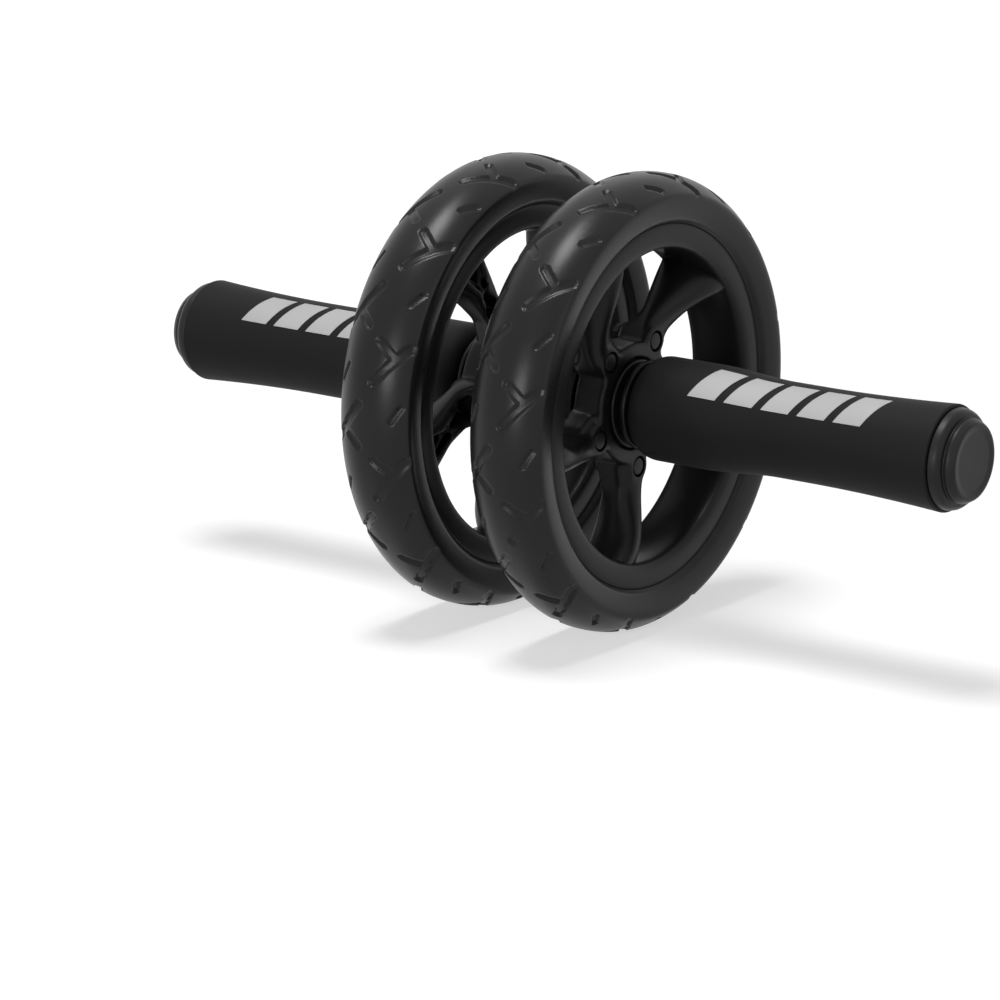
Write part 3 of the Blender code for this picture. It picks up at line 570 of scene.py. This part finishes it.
def tyre_section(tyre):
    """Closed (u, radius) outline of the tyre, and how many of its points make the crown."""
    half, crown_power = tyre.half_width, 2.37
    steps = int(2 * half / (0.46 * MM))
    crown = []
    for k in range(steps + 1):
        u = -half + 2 * half * k / steps
        crown.append((u, WHEEL_RADIUS - tyre.crown_fall * (abs(u) / half) ** crown_power))
    foot_u, foot_r = tyre.foot_half_width, tyre.foot_radius
    shoulder_u, shoulder_r = crown[-1]
    wall_steps, belly, foot_edge, inside = 8, 0.35 * MM, 0.4 * MM, 61.3 * MM
    wall = []
    for k in range(1, wall_steps + 1):
        t = k / wall_steps
        u = shoulder_u + (foot_u - shoulder_u) * t + belly * math.sin(math.pi * t)
        wall.append((u, shoulder_r + (foot_r + foot_edge - shoulder_r) * t))
    lip = [
        (foot_u, foot_r), (foot_u - 0.7 * MM, foot_r - 0.45 * MM),
        (foot_u - 2.3 * MM, foot_r - 0.6 * MM), (10.4 * MM, 62.6 * MM),
    ]
    seat = [(u * MM, inside) for u in (10.2, 9.9, 9.0, 6.0, 3.0)]
    side = wall + lip + seat
    return crown + side + [(0.0, inside)] + mirrored(side), len(crown)


def soft_shoulder(outline, rounds):
    """Ease the corners of a closed outline a little."""
    points = np.array(outline)
    for _ in range(rounds):
        beside = np.roll(points, 1, axis=0) + np.roll(points, -1, axis=0)
        points = points * 0.5 + beside * 0.25
    return points


def tyre_mesh(tyre, turn, material):
    """Turned tyre with crisp tread marks sunk in its crown; points settle on the marks' edges."""
    outline, size = tyre_section(tyre)
    section = soft_shoulder(outline, 2)
    crown_u, crown_r = section[:size, 0], section[:size, 1]
    around = 984
    arc_turn = turn * WHEEL_RADIUS
    repeat = 2 * math.pi * WHEEL_RADIUS / tyre.mark_repeats
    u = np.repeat(crown_u[None, :], around, axis=0)
    arc = (np.arange(around) * 2 * math.pi * WHEEL_RADIUS / around)[:, None]
    arc = np.repeat(arc, size, axis=1)
    still, settle, wall, least = 0.6 * MM, 0.24 * MM, 0.5 * MM, 0.1 * MM
    inner = np.abs(u) < tyre.half_width - still
    marks = tread_marks(tyre)
    for start, end, width in marks:
        away, gap_u, gap_arc = from_mark(u, arc - arc_turn, start, end, repeat)
        for level in (width / 2, width / 2 - wall):
            near = inner & (np.abs(away - level) < settle)
            shift = np.where(near, (level - away) / np.maximum(away, least), 0.0)
            u, arc = u + shift * gap_u, arc + shift * gap_arc
    depth = np.zeros(u.shape)
    for start, end, width in marks:
        away = from_mark(u, arc - arc_turn, start, end, repeat)[0]
        depth = np.maximum(depth, 1 - np.clip((away - width / 2 + wall) / wall, 0, 1))
    fade_start, fade_end = tyre.half_width - 0.9 * MM, tyre.half_width - 0.1 * MM
    depth = depth * (1 - smooth_step(fade_start, fade_end, np.abs(u))) * tyre.mark_depth
    slope = np.interp(u, crown_u, np.gradient(crown_r, crown_u))
    size_of_normal = np.hypot(slope, 1.0)
    r = np.interp(u, crown_u, crown_r) - depth / size_of_normal
    u = u + depth * slope / size_of_normal
    place = arc / WHEEL_RADIUS
    crown = np.stack([u, r * np.cos(place), r * np.sin(place)], axis=-1)
    turns = (np.arange(around) * 2 * math.pi / around)[:, None]
    rest_u, rest_r = section[size:, 0], section[size:, 1]
    rest_u = np.broadcast_to(rest_u, (around, len(rest_u)))
    rest = np.stack([rest_u, rest_r * np.cos(turns), rest_r * np.sin(turns)], axis=-1)
    return closed_loft("tyre", np.concatenate([crown, rest], axis=1).tolist(), material)


def rim_outline(rim):
    """Closed (u, radius) outline of the rim."""
    half = [(u * MM, r * MM) for u, r in RIM_HALF]
    seat_middle = (0.0, RIM_HALF[0][1] * MM)
    return half + [(0.0, rim.barrel_radius)] + mirrored(half) + [seat_middle]


def spoke_crest(rise, radius):
    """The ridge along a spoke as (side, u over the hub's face): swept back, up at the lip."""
    out = radius / MM - 30.0
    side = 0.9 + 0.47 * out + 0.0115 * out * abs(out)
    return -side * MM, rise * smooth_step(-0.12, 1.0, out / 23.0)


def spoke_walls(radius):
    """Both sides of a spoke as (side, u): widest and back points, leading then trailing."""
    r = radius / MM
    # Root and far are 1 next to the hub and towards the rim; everything else is in millimetres.
    root = 1 - smooth_step(23.0, 35.0, r)
    far = smooth_step(31.0, 49.0, r)
    out = 1.6 * math.log1p(math.exp((r - 31.0) / 1.6))
    flare = 5.5 * smooth_step(41.0, 56.0, r)
    crest = spoke_crest(0.0, radius)[0] / MM
    lead = (4.4 - 0.36 * out + 1.6 * root, -2.6 - 0.15 * out + 2.2 * root)
    lead_back = (1.7 - 7.0 * far + 4.2 * root, -5.5 - 3.4 * far - 3.6 * root)
    trail = (min(crest, -0.9) - 7.2 + 2.6 * far - 0.6 * root, -1.7)
    trail_back = (-9.5 - 1.6 * far - flare - 0.6 * root, -7.5 - 1.4 * far - 1.6 * root)
    return [(side * MM, u * MM) for side, u in (lead, lead_back, trail, trail_back)]


def bow(level, standing, steps):
    """Quarter ellipse from a point where the surface lies level to one where it stands upright."""
    turns = [math.pi / 2 * k / steps for k in range(steps + 1)]
    wide, tall = standing[0] - level[0], level[1] - standing[1]
    return [(level[0] + wide * math.sin(t), standing[1] + tall * math.cos(t)) for t in turns]


def tuck(wide, back, steps):
    """Points from a widest point, left upright, to the back edge, with neither end."""
    turns = [math.pi / 2 * k / steps for k in range(1, steps)]
    across, down = wide[0] - back[0], back[1] - wide[1]
    return [(back[0] + across * math.cos(t), wide[1] + down * math.sin(t)) for t in turns]


def spoke_ring(rim, radius):
    """Channel section of a spoke as (side, u), open at the back."""
    crest = spoke_crest(rim.crest_rise, radius)
    crest = (crest[0], crest[1] + rim.face)
    lead, lead_back, trail, trail_back = spoke_walls(radius)
    outer = [trail_back] + tuck(trail, trail_back, 4)[::-1] + bow(crest, trail, 8)[::-1]
    outer += bow(crest, lead, 10)[1:] + tuck(lead, lead_back, 4) + [lead_back]
    return outer + inner_wall(outer, rim.wall)


def inner_wall(outer, wall):
    """The same line set in by a wall's thickness, run the other way."""
    points = np.array(outer)
    along = np.gradient(points, axis=0)
    along /= np.linalg.norm(along, axis=1)[:, None]
    inside = points + np.stack([along[:, 1], -along[:, 0]], axis=1) * wall
    inside[0] = points[0] + np.array([wall, 0.0])
    inside[-1] = points[-1] - np.array([wall, 0.0])
    return [tuple(point) for point in inside[::-1]]


def spoke_place(radius, side, u, turn):
    """A point of a spoke's section, bent round the axle and turned with the spoke."""
    place = turn + side / radius
    return u, radius * math.cos(place), radius * math.sin(place)


def spoke_mesh(rim, turn, material):
    """One channel-shaped spoke, from inside the hub to inside the rim."""
    radii = np.concatenate([np.linspace(19.0, 30.0, 8), np.linspace(31.5, 57.0, 22)]) * MM
    rings = [[spoke_place(r, side, u, turn) for side, u in spoke_ring(rim, r)] for r in radii]
    return closed_loft("spoke", rings, material, caps=True)


def rib_mesh(rim, turn, leading, material):
    """One arm of the cross behind a spoke, from wall to wall."""
    near, far, half_thickness, back, front = (
        value * MM for value in (34.5, 54.2, 0.8, -7.0, 1.8)
    )
    ends = []
    for radius, on_lead in ((near, leading), (far, not leading)):
        _, lead, _, trail = spoke_walls(radius)
        side = lead[0] - rim.wall / 2 if on_lead else trail[0] + rim.wall / 2
        ends.append(Vector(spoke_place(radius, side, 0, turn)[1:]))
    start, end = ends
    across = (end - start).orthogonal().normalized() * half_thickness
    corners = [start - across, end - across, end + across, start + across]
    rings = [[(x, c.x, c.y) for c in corners] for x in (back, front)]
    return closed_loft("rib", rings, material, caps=True)


def hub_outline(rim):
    """Closed (u, radius) outline of the hub: bush tube, sunk washer seat and deep skirt."""
    bush, tube, seat, skirt, edge = (r * MM for r in (8.45, 12.6, 16.0, 18.8, 21.4))
    web, skirt_back, seat_floor = (u * MM for u in (-4.8, -9.3, -1.4))
    return [
        (HUB_BACK, bush), (HUB_BACK, tube), (web, tube), (web, skirt), (skirt_back, skirt),
        (skirt_back, edge), (rim.face, edge), (rim.face, seat), (seat_floor, seat),
        (seat_floor, bush),
    ]


def joined(name, meshes):
    """One mesh that holds several shells."""
    shape = bmesh.new()
    for mesh in meshes:
        shape.from_mesh(mesh)
    result = bpy.data.meshes.new(name)
    shape.to_mesh(result)
    shape.free()
    result.materials.append(meshes[0].materials[0])
    for mesh in meshes:
        bpy.data.meshes.remove(mesh)
    return result


def pin_circle(rim, circle, radius, low, high, material):
    """Closed pins, one at the root of each spoke."""
    pins = []
    for k in range(rim.spokes):
        turn = 2 * math.pi * k / rim.spokes
        pin = lathe("pin", [(low, 0), (low, radius), (high, radius), (high, 0)], 48, material)
        pin.transform(Matrix.Translation((0, circle * math.cos(turn), circle * math.sin(turn))))
        pins.append(pin)
    return pins


def soften_roots(star, rim, circle):
    """Run the spokes' roots softly into the hub, but keep the screw pillars' faces."""
    points = np.empty(len(star.data.vertices) * 3, dtype=np.float32)
    star.data.vertices.foreach_get("co", points)
    points = points.reshape(-1, 3)
    radius = np.hypot(points[:, 1], points[:, 2])
    step = 2 * math.pi / rim.spokes
    turn = (np.arctan2(points[:, 2], points[:, 1]) + step / 2) % step - step / 2
    from_pin = np.hypot(radius * np.cos(turn) - circle, radius * np.sin(turn))
    past_hub = smooth_step(19.0 * MM, 22.0 * MM, radius)
    past_root = smooth_step(30.0 * MM, 38.0 * MM, radius)
    off_pillar = smooth_step(4.6 * MM, 8.0 * MM, from_pin)
    weight = past_hub * (1 - past_root) * off_pillar
    group, levels = star.vertex_groups.new(name="roots"), 8
    for level in range(1, levels + 1):
        chosen = np.nonzero(np.ceil(weight * levels) == level)[0]
        group.add([int(index) for index in chosen], level / levels, "REPLACE")
    rounds = 26
    modify(star, "Ease", "SMOOTH", vertex_group=group.name, factor=0.5, iterations=rounds)
    baked(star)
    star.vertex_groups.clear()


def star_mesh(rim, circle, material):
    """Hub, spokes, ribs and screw pillars, run together into one soft-edged moulding."""
    pillar, seat, seat_depth, clear = 5.4 * MM, 3.8 * MM, 2.2 * MM, 2.0 * MM
    parts = [lathe("hub", hub_outline(rim), 96, material)]
    parts += pin_circle(rim, circle, pillar, HUB_BACK, rim.face, material)
    for k in range(rim.spokes):
        turn = 2 * math.pi * k / rim.spokes
        parts.append(spoke_mesh(rim, turn, material))
        parts += [rib_mesh(rim, turn, leading, material) for leading in (True, False)]
    star = new_object("star", joined("star", parts))
    voxel = rim.voxel * 1
    modify(star, "Moulding", "REMESH", mode="VOXEL", voxel_size=voxel, use_smooth_shade=True)
    modify(star, "Soften", "SMOOTH", factor=0.5, iterations=6)
    baked(star)
    soften_roots(star, rim, circle)
    low, high = rim.face - seat_depth, rim.face + clear
    seats = joined("seats", pin_circle(rim, circle, seat, low, high, material))
    cutter = new_object("seats", seats)
    cut = {"operation": "DIFFERENCE", "solver": "MANIFOLD", "object": cutter}
    modify(star, "Screw Seats", "BOOLEAN", **cut)
    mesh = taken(star)
    bpy.data.objects.remove(cutter)
    mesh.shade_smooth()
    mesh.set_sharp_from_angle(angle=MAIN_EDGE)
    return mesh


def outline_radius(tree, given, place):
    """Radius of the waisted grip at a distance from the middle of the object."""
    waist, swell_start, swell_length = (0.062, 0.092), 0.105, 0.0516
    add, subtract, multiply = arithmetic(tree)
    inner_radius, waist_radius, outer_radius = (given[label] for label in GRIP_RADII)
    place = math_node(tree, "ABSOLUTE", place)
    inner = remap(tree, place, waist, (inner_radius, waist_radius), "SMOOTHSTEP")
    rise = math_node(tree, "DIVIDE", subtract(place, swell_start), swell_length, clamp=True)
    swell = multiply(math_node(tree, "POWER", rise, 1.9), subtract(outer_radius, waist_radius))
    return add(inner, swell)


def corner_ease(tree, distance, reach, drop):
    """How far a rounded end lies below full size, at a distance from that end."""
    _, subtract, multiply = arithmetic(tree)
    t = subtract(1.0, math_node(tree, "DIVIDE", distance, reach, clamp=True))
    curve = math_node(tree, "SQRT", subtract(1.0, multiply(t, t)))
    return multiply(subtract(1.0, curve), drop)


def grip_tree():
    """Sweep a circle along the axle, sized by the waisted outline and the two rounded ends."""
    tree, given, result = shape_tree("Grip", GRIP_SIZES, ("Around",))
    _, subtract, _ = arithmetic(tree)
    line = add_node(tree, "GeometryNodeCurvePrimitiveLine", {
        "Start": (0, 0, 0), "End": (1, 0, 0),
    })
    fine = add_node(tree, "GeometryNodeResampleCurve", {"Curve": line, "Count": 220})
    along = add_node(tree, "GeometryNodeSplineParameter").outputs["Factor"]
    eased = remap(tree, along, to=(given["Start"], given["End"]), kind="SMOOTHSTEP")
    moved = add_node(tree, "GeometryNodeSetPosition", {
        "Geometry": fine, "Position": vector(tree, X=eased),
    })
    x = point_here(tree)["X"]
    dome = subtract(given["Inner Radius"], given["Mouth Radius"])
    from_start, from_end = subtract(x, given["Start"]), subtract(given["End"], x)
    end_reach, end_drop = 1.0 * MM, 0.9 * MM
    full = outline_radius(tree, given, x)
    full = subtract(full, corner_ease(tree, from_start, given["Dome"], dome))
    full = subtract(full, corner_ease(tree, from_end, end_reach, end_drop))
    circle = add_node(tree, "GeometryNodeCurvePrimitiveCircle", {
        "Resolution": given["Around"], "Radius": 1.0,
    })
    sized = add_node(tree, "GeometryNodeSetCurveRadius", {"Curve": moved, "Radius": full})
    skin = add_node(tree, "GeometryNodeCurveToMesh", {
        "Curve": sized, "Profile Curve": circle, "Fill Caps": True,
        "Scale": add_node(tree, "GeometryNodeInputRadius"),
    })
    return painted(tree, given, result, skin)


def patch_tree():
    """A row of leaning light patches laid on the grip's waisted outline."""
    floats = ("First", "Lift", *PATCH_SIZES)
    tree, given, result = shape_tree("Grip Patches", floats, ("Patches",))
    add, subtract, multiply = arithmetic(tree)
    grid = add_node(tree, "GeometryNodeMeshGrid", {
        "Size X": 1.0, "Size Y": 1.0, "Vertices X": 16, "Vertices Y": 28,
    })
    spacing = 2
    row = add_node(tree, "GeometryNodeMeshLine", {
        "Count": given["Patches"], "Start Location": (0, 0, 0), "Offset": (spacing, 0, 0),
    })
    copies = add_node(tree, "GeometryNodeInstanceOnPoints", {"Points": row, "Instance": grid})
    real = add_node(tree, "GeometryNodeRealizeInstances", {"Geometry": copies})
    here = point_here(tree)
    number_of_patch = math_node(tree, "ROUND", multiply(here["X"], 1 / spacing))
    across = add(subtract(here["X"], multiply(number_of_patch, spacing)), 0.5)
    up = add(here["Y"], 0.5)
    x = add(given["First"], multiply(number_of_patch, given["Patch Pitch"]))
    x = add(x, multiply(across, given["Patch Width"]))
    x = add(x, multiply(up, given["Patch Lean"]))
    turn = remap(tree, up, to=(given["Patch Low"], given["Patch High"]))
    radius = add(outline_radius(tree, given, x), given["Lift"])
    y, z = (multiply(radius, math_node(tree, wave, turn)) for wave in ("COSINE", "SINE"))
    moved = add_node(tree, "GeometryNodeSetPosition", {
        "Geometry": real, "Position": vector(tree, X=x, Y=y, Z=z),
    })
    return painted(tree, given, result, moved)


def screw_tree():
    """Pan heads and shanks of the hub screws, set round the screw circle."""
    tree, given, result = shape_tree("Hub Screws", (
        "Circle", "Turn", "Head Radius", "Head Height", "Shank Radius", "Shank Length", "Top",
    ), ("Count",))
    _, subtract, multiply = arithmetic(tree)
    overlap = multiply(given["Head Height"], -0.9)
    shank_drop = subtract(overlap, multiply(given["Shank Length"], 0.5))
    screw = add_node(tree, "GeometryNodeJoinGeometry")
    for sides, radius, depth, drop in (
        (40, "Head Radius", "Head Height", multiply(given["Head Height"], -0.5)),
        (24, "Shank Radius", "Shank Length", shank_drop),
    ):
        pin = add_node(tree, "GeometryNodeMeshCylinder", {
            "Vertices": sides, "Radius": given[radius], "Depth": given[depth],
        })
        lowered = add_node(tree, "GeometryNodeTransform", {
            "Geometry": pin, "Translation": vector(tree, Z=drop),
        })
        feed(tree, screw, {"Geometry": lowered})
    circle = add_node(tree, "GeometryNodeMeshCircle", {
        "Vertices": given["Count"], "Radius": given["Circle"],
    })
    copies = add_node(tree, "GeometryNodeInstanceOnPoints", {
        "Points": circle, "Instance": screw,
    })
    real = add_node(tree, "GeometryNodeRealizeInstances", {"Geometry": copies})
    spun = add_node(tree, "GeometryNodeTransform", {
        "Geometry": real, "Rotation": vector(tree, Z=given["Turn"]),
    })
    stood = add_node(tree, "GeometryNodeTransform", {
        "Geometry": spun, "Rotation": (math.pi / 2, 0, math.pi / 2),
        "Translation": vector(tree, X=given["Top"]),
    })
    return painted(tree, given, result, stood)


class ABROLLER_OT_tyres(bpy.types.Operator):
    """Make both tyres with their moulded tread marks"""
    bl_idname = "abroller.tyres"
    bl_label = "Tyres"

    def execute(self, context):
        tyre = settings().tyre
        material = surface("tyre_rubber_look", tyre.colour, tyre.roughness, **RUBBER)
        for side, turn in (("right", 0.0), ("left", tyre.left_turn)):
            mesh = tyre_mesh(tyre, turn, material)
            mesh.transform(side_matrix(side, WHEEL_MIDDLE))
            show(f"moulded_tyre_{side}", mesh, f"wheel_{side}", [f"tyre_{side}"])
        return {"FINISHED"}


class ABROLLER_OT_rims(bpy.types.Operator):
    """Make both rims with their spokes, ribs and hubs"""
    bl_idname = "abroller.rims"
    bl_label = "Rims"

    def execute(self, context):
        rim, fitting = settings().rim, settings().fitting
        material = surface("wheel_plastic_look", rim.colour, rim.roughness, **SATIN_PLASTIC)
        star = star_mesh(rim, fitting.screw_circle, material)
        outline = soft_shoulder(rim_outline(rim), 1)
        ring = lathe("ring", outline, 200, material)
        for side, turn in (("right", rim.right_turn), ("left", rim.left_turn)):
            turned_star = star.copy()
            turned_star.transform(Matrix.Rotation(turn, 4, "X"))
            mesh = joined(f"rim_{side}", [turned_star, ring.copy()])
            mesh.transform(side_matrix(side, WHEEL_MIDDLE))
            nodes = [f"wheel_rim_{side}"]
            show(f"moulded_rim_{side}", mesh, f"wheel_{side}", nodes)
        return {"FINISHED"}


class ABROLLER_OT_screws(bpy.types.Operator):
    """Set the screws round each hub"""
    bl_idname = "abroller.screws"
    bl_label = "Hub Screws"

    def execute(self, context):
        rim, fitting = settings().rim, settings().fitting
        material = surface("screw_look", fitting.cap_colour, 0.42, **SATIN_PLASTIC)
        tree = screw_tree()
        bevel = ("BEVEL", {"width": 0.45 * MM, "segments": 3, "limit_method": "ANGLE"})
        sizes = {
            "Count": rim.spokes, "Circle": fitting.screw_circle,
            "Head Radius": fitting.screw_head, "Head Height": 1.6 * MM,
            "Shank Radius": 1.6 * MM, "Shank Length": 12.0 * MM, "Top": rim.face - 0.25 * MM,
        }
        for side, turn in (("right", rim.right_turn), ("left", rim.left_turn)):
            values = {**sizes, "Turn": turn, "Material": material}
            mesh = run_tree("screws", tree, values, [bevel])
            mesh.shade_smooth()
            mesh.set_sharp_from_angle(angle=SMALL_EDGE)
            mesh.transform(side_matrix(side, WHEEL_MIDDLE))
            nodes = [f"hub_screw_{side}_{number}" for number in range(1, rim.spokes + 1)]
            show(f"screw_ring_{side}", mesh, f"wheel_{side}", nodes)
        return {"FINISHED"}


class ABROLLER_OT_grips(bpy.types.Operator):
    """Make both waisted grips and their light patches"""
    bl_idname = "abroller.grips"
    bl_label = "Grips"

    def execute(self, context):
        grip = settings().grip
        soft = surface("grip_rubber_look", grip.colour, grip.roughness, **GRIP_FOAM)
        pale = surface("patch_look", grip.patch_colour, 0.55, **PALE_PATCH)
        body, patches = grip_tree(), patch_tree()
        lift = Matrix.Translation((0, 0, AXLE_HEIGHT))
        thick = ("SOLIDIFY", {"thickness": 0.25 * MM, "offset": -1.0, "use_even_offset": True})
        for side, first in (("right", grip.right_first), ("left", grip.left_first)):
            mesh = run_tree("grip", body, {
                **sizes_of(grip, GRIP_SIZES), "Around": 128,
                "Material": soft,
            })
            outward(mesh)
            mesh.set_sharp_from_angle(angle=MAIN_EDGE)
            mesh.transform(side_matrix(side))
            show(f"soft_grip_{side}", mesh, "handle_bar", [f"grip_{side}"])
            mesh = run_tree("patches", patches, {
                **sizes_of(grip, PATCH_SIZES), "Patches": grip.patches, "First": first,
                "Lift": 0.12 * MM, "Material": pale,
            }, [thick])
            outward(mesh)
            mesh.set_sharp_from_angle(angle=SMALL_EDGE)
            mesh.transform(lift)
            show(f"grip_patches_{side}", mesh, "handle_bar", [])
        return {"FINISHED"}


class ABROLLER_OT_end_caps(bpy.types.Operator):
    """Make the stepped end caps"""
    bl_idname = "abroller.end_caps"
    bl_label = "End Caps"

    def execute(self, context):
        fitting, grip = settings().fitting, settings().grip
        look = (fitting.cap_colour, fitting.cap_roughness)
        material = surface("cap_plastic_look", *look, **SATIN_PLASTIC)
        start, flange, disc = grip.end + 0.3 * MM, fitting.cap_flange, fitting.cap_disc
        tip, step, plug_end, plug = HALF_LENGTH, start + 4.1 * MM, start - 6 * MM, 9.0 * MM
        outline = [
            (plug_end, AXLE_HOLE), (plug_end, plug), (start, plug), (start, flange),
            (start + 2.6 * MM, flange - 0.45 * MM), (step, flange - 1.6 * MM),
            (step, disc - 0.5 * MM), (tip - 2.4 * MM, disc), (tip - 0.1 * MM, disc - 1.4 * MM),
            (tip, disc - 2.4 * MM), (tip - 0.4 * MM, disc - 4.5 * MM), (tip - 0.5 * MM, 0),
            (start - 0.2 * MM, 0), (start - 0.2 * MM, AXLE_HOLE),
        ]
        around = 128
        for side in SIDES:
            mesh = turned("cap", outline, 0.7 * MM, around, material, side)
            show(f"stepped_cap_{side}", mesh, "handle_bar", [f"end_cap_{side}"])
        return {"FINISHED"}


class ABROLLER_OT_neck(bpy.types.Operator):
    """Make the handle cores with their neck rings, and the spacer between the wheels"""
    bl_idname = "abroller.neck"
    bl_label = "Handle Cores and Spacer"

    def execute(self, context):
        rim = settings().rim
        material = surface("core_plastic_look", rim.colour, rim.roughness, **SATIN_PLASTIC)
        low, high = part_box("handle_core_right")
        start, end = low[0], high[0]
        ring, second, core, socket = 15.5 * MM, 15.8 * MM, 11.3 * MM, 9.3 * MM
        outline = [
            (start, AXLE_HOLE), (start, ring), (start + 1.9 * MM, ring),
            (start + 1.9 * MM, core), (start + 4.6 * MM, core), (start + 4.6 * MM, second),
            (start + 6.6 * MM, second), (start + 6.6 * MM, core), (end, core), (end, socket),
            (end - 8 * MM, socket), (end - 8 * MM, AXLE_HOLE),
        ]
        for side in SIDES:
            mesh = turned("core", outline, 0.9 * MM, 96, material, side)
            nodes = [f"handle_core_{side}"]
            show(f"ringed_core_{side}", mesh, "handle_bar", nodes)
        low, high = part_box("centre_spacer")
        half, radius = high[0], (high[2] - low[2]) / 2
        outline = [(-half, AXLE_HOLE), (-half, radius), (half, radius), (half, AXLE_HOLE)]
        mesh = turned("spacer", outline, 0.8 * MM, 96, material, "right")
        show("turned_spacer", mesh, "handle_bar", ["centre_spacer"])
        return {"FINISHED"}


class ABROLLER_OT_inner_fittings(bpy.types.Operator):
    """Give the axle, bushes, washers, bolts and bearing caps their finishes"""
    bl_idname = "abroller.inner_fittings"
    bl_label = "Inner Fittings"

    def execute(self, context):
        steel, rim = settings().fitting.steel_colour, settings().rim
        finishes = {
            slot: surface(f"{name}_look", base, roughness, **kind)
            for slot, name, base, roughness, kind in (
                ("axle_steel", "axle_steel", steel, 0.3, DRAWN_STEEL),
                ("bearing_plastic", "bearing_plastic", BEARING_COLOUR, 0.45, SATIN_PLASTIC),
                ("wheel_plastic", "hub_plastic", rim.colour, rim.roughness, SATIN_PLASTIC),
                ("screw_steel", "screw_steel", DARK_STEEL_COLOUR, 0.38, DRAWN_STEEL),
            )
        }
        for part in frame["record"]["subparts"]:
            if part["material_slot"] in finishes:
                for slot in frame["nodes"][part["node"]].material_slots:
                    slot.material = finishes[part["material_slot"]]
        return {"FINISHED"}


def sees_background(tree):
    """1 for the rays that show the background: seen directly, reflected or through glass."""
    path = add_node(tree, "ShaderNodeLightPath").outputs
    seen = math_node(tree, "MAXIMUM", path["Is Camera Ray"], path["Is Glossy Ray"])
    return math_node(tree, "MAXIMUM", seen, path["Is Transmission Ray"])


def stage_material(name, base, near_glow):
    """Pale ground that reads as white to the camera and keeps the object's shadow."""
    far_glow, rising = 0.95, (0.25, 1.6)
    material = bpy.data.materials.new(name)
    material.use_nodes = True
    tree = material.node_tree
    place = add_node(tree, "ShaderNodeTexCoord").outputs["Object"]
    away = add_node(tree, "ShaderNodeVectorMath", {0: place}, operation="LENGTH")
    glow = remap(tree, away.outputs["Value"], rising, (near_glow, far_glow))
    feed(tree, tree.nodes["Principled BSDF"], {
        "Base Color": (*base, 1.0), "Roughness": 0.9, "Emission Color": (1, 1, 1, 1),
        "Emission Strength": math_node(tree, "MULTIPLY", sees_background(tree), glow),
    })
    return material


def add_lamp(name, place, size, power):
    """Area lamp that shines at the middle of the object."""
    lamp = bpy.data.lights.new(name, "AREA")
    lamp.shape = "RECTANGLE"
    lamp.size, lamp.size_y = size
    lamp.energy = power
    holder = new_object(name, lamp)
    holder.location = place
    holder.rotation_euler = (LAMP_AIM - Vector(place)).to_track_quat("-Z", "Y").to_euler()


def add_camera(stage):
    """Camera at the photograph's viewing angle."""
    camera = new_object("camera", bpy.data.cameras.new("camera"))
    camera.matrix_world = (
        Matrix.Translation(CAMERA_AIM)
        @ Matrix.Rotation(stage.azimuth, 4, "Z")
        @ Matrix.Rotation(math.pi / 2 - stage.elevation, 4, "X")
        @ Matrix.Rotation(stage.roll, 4, "Z")
        @ Matrix.Translation((0, 0, stage.distance))
    )
    camera.data.lens = stage.lens
    bpy.context.scene.camera = camera


class ABROLLER_OT_stage(bpy.types.Operator):
    """Set the floor, lamps, even light and camera"""
    bl_idname = "abroller.stage"
    bl_label = "Stage"

    def execute(self, context):
        stage = settings().stage
        reach, depth, pale = 4, 0.01, stage_material("floor_look", (0.5, 0.5, 0.5), 0.58)
        square = [(-reach, -reach), (reach, -reach), (reach, reach), (-reach, reach)]
        rings = [[(x, y, z) for x, y in square] for z in (-depth, 0)]
        floor = closed_loft("floor", rings, pale, caps=True)
        floor.polygons.foreach_set("use_smooth", [False] * len(floor.polygons))
        ground = new_object("floor", floor)
        world = bpy.data.worlds.new("studio")
        context.scene.world = world
        world.use_nodes = True
        tree = world.node_tree
        strength = remap(tree, sees_background(tree), to=(stage.sky, 1.0))
        feed(tree, tree.nodes["Background"], {"Color": (1, 1, 1, 1), "Strength": strength})
        for name, (place, size, part) in LAMPS.items():
            add_lamp(name, place, size, stage.lamp_power * part)
        add_camera(stage)
        context.scene.view_settings.view_transform = "Standard"
        return {"FINISHED"}


STEPS = (
    ABROLLER_OT_tyres, ABROLLER_OT_rims, ABROLLER_OT_screws, ABROLLER_OT_grips,
    ABROLLER_OT_end_caps, ABROLLER_OT_neck, ABROLLER_OT_inner_fittings, ABROLLER_OT_stage,
)
GROUPS = (
    TyreSettings, RimSettings, GripSettings, FittingSettings, StageSettings, RollerSettings,
)


class ABROLLER_PT_panel(bpy.types.Panel):
    """Buttons for each piece and its settings"""
    bl_label = "Ab Roller"
    bl_idname = "ABROLLER_PT_panel"
    bl_space_type = "VIEW_3D"
    bl_region_type = "UI"
    bl_category = "Ab Roller"

    def draw(self, context):
        for step in STEPS:
            self.layout.operator(step.bl_idname)
        roller = context.scene.ab_roller
        for name in RollerSettings.__annotations__:
            box = self.layout.box()
            group = getattr(roller, name)
            for key in group.__annotations__:
                box.prop(group, key)


def register():
    """Add the settings, the operators and the panel."""
    for item in GROUPS + STEPS + (ABROLLER_PT_panel,):
        bpy.utils.register_class(item)
    bpy.types.Scene.ab_roller = bpy.props.PointerProperty(type=RollerSettings)


def unregister():
    """Take away the panel, the operators and the settings."""
    del bpy.types.Scene.ab_roller
    for item in reversed(GROUPS + STEPS + (ABROLLER_PT_panel,)):
        bpy.utils.unregister_class(item)


def main():
    """Build the whole scene with the operators."""
    register()
    for step in STEPS:
        group, name = step.bl_idname.split(".")
        getattr(getattr(bpy.ops, group), name)()


if __name__ == "__main__":
    main()
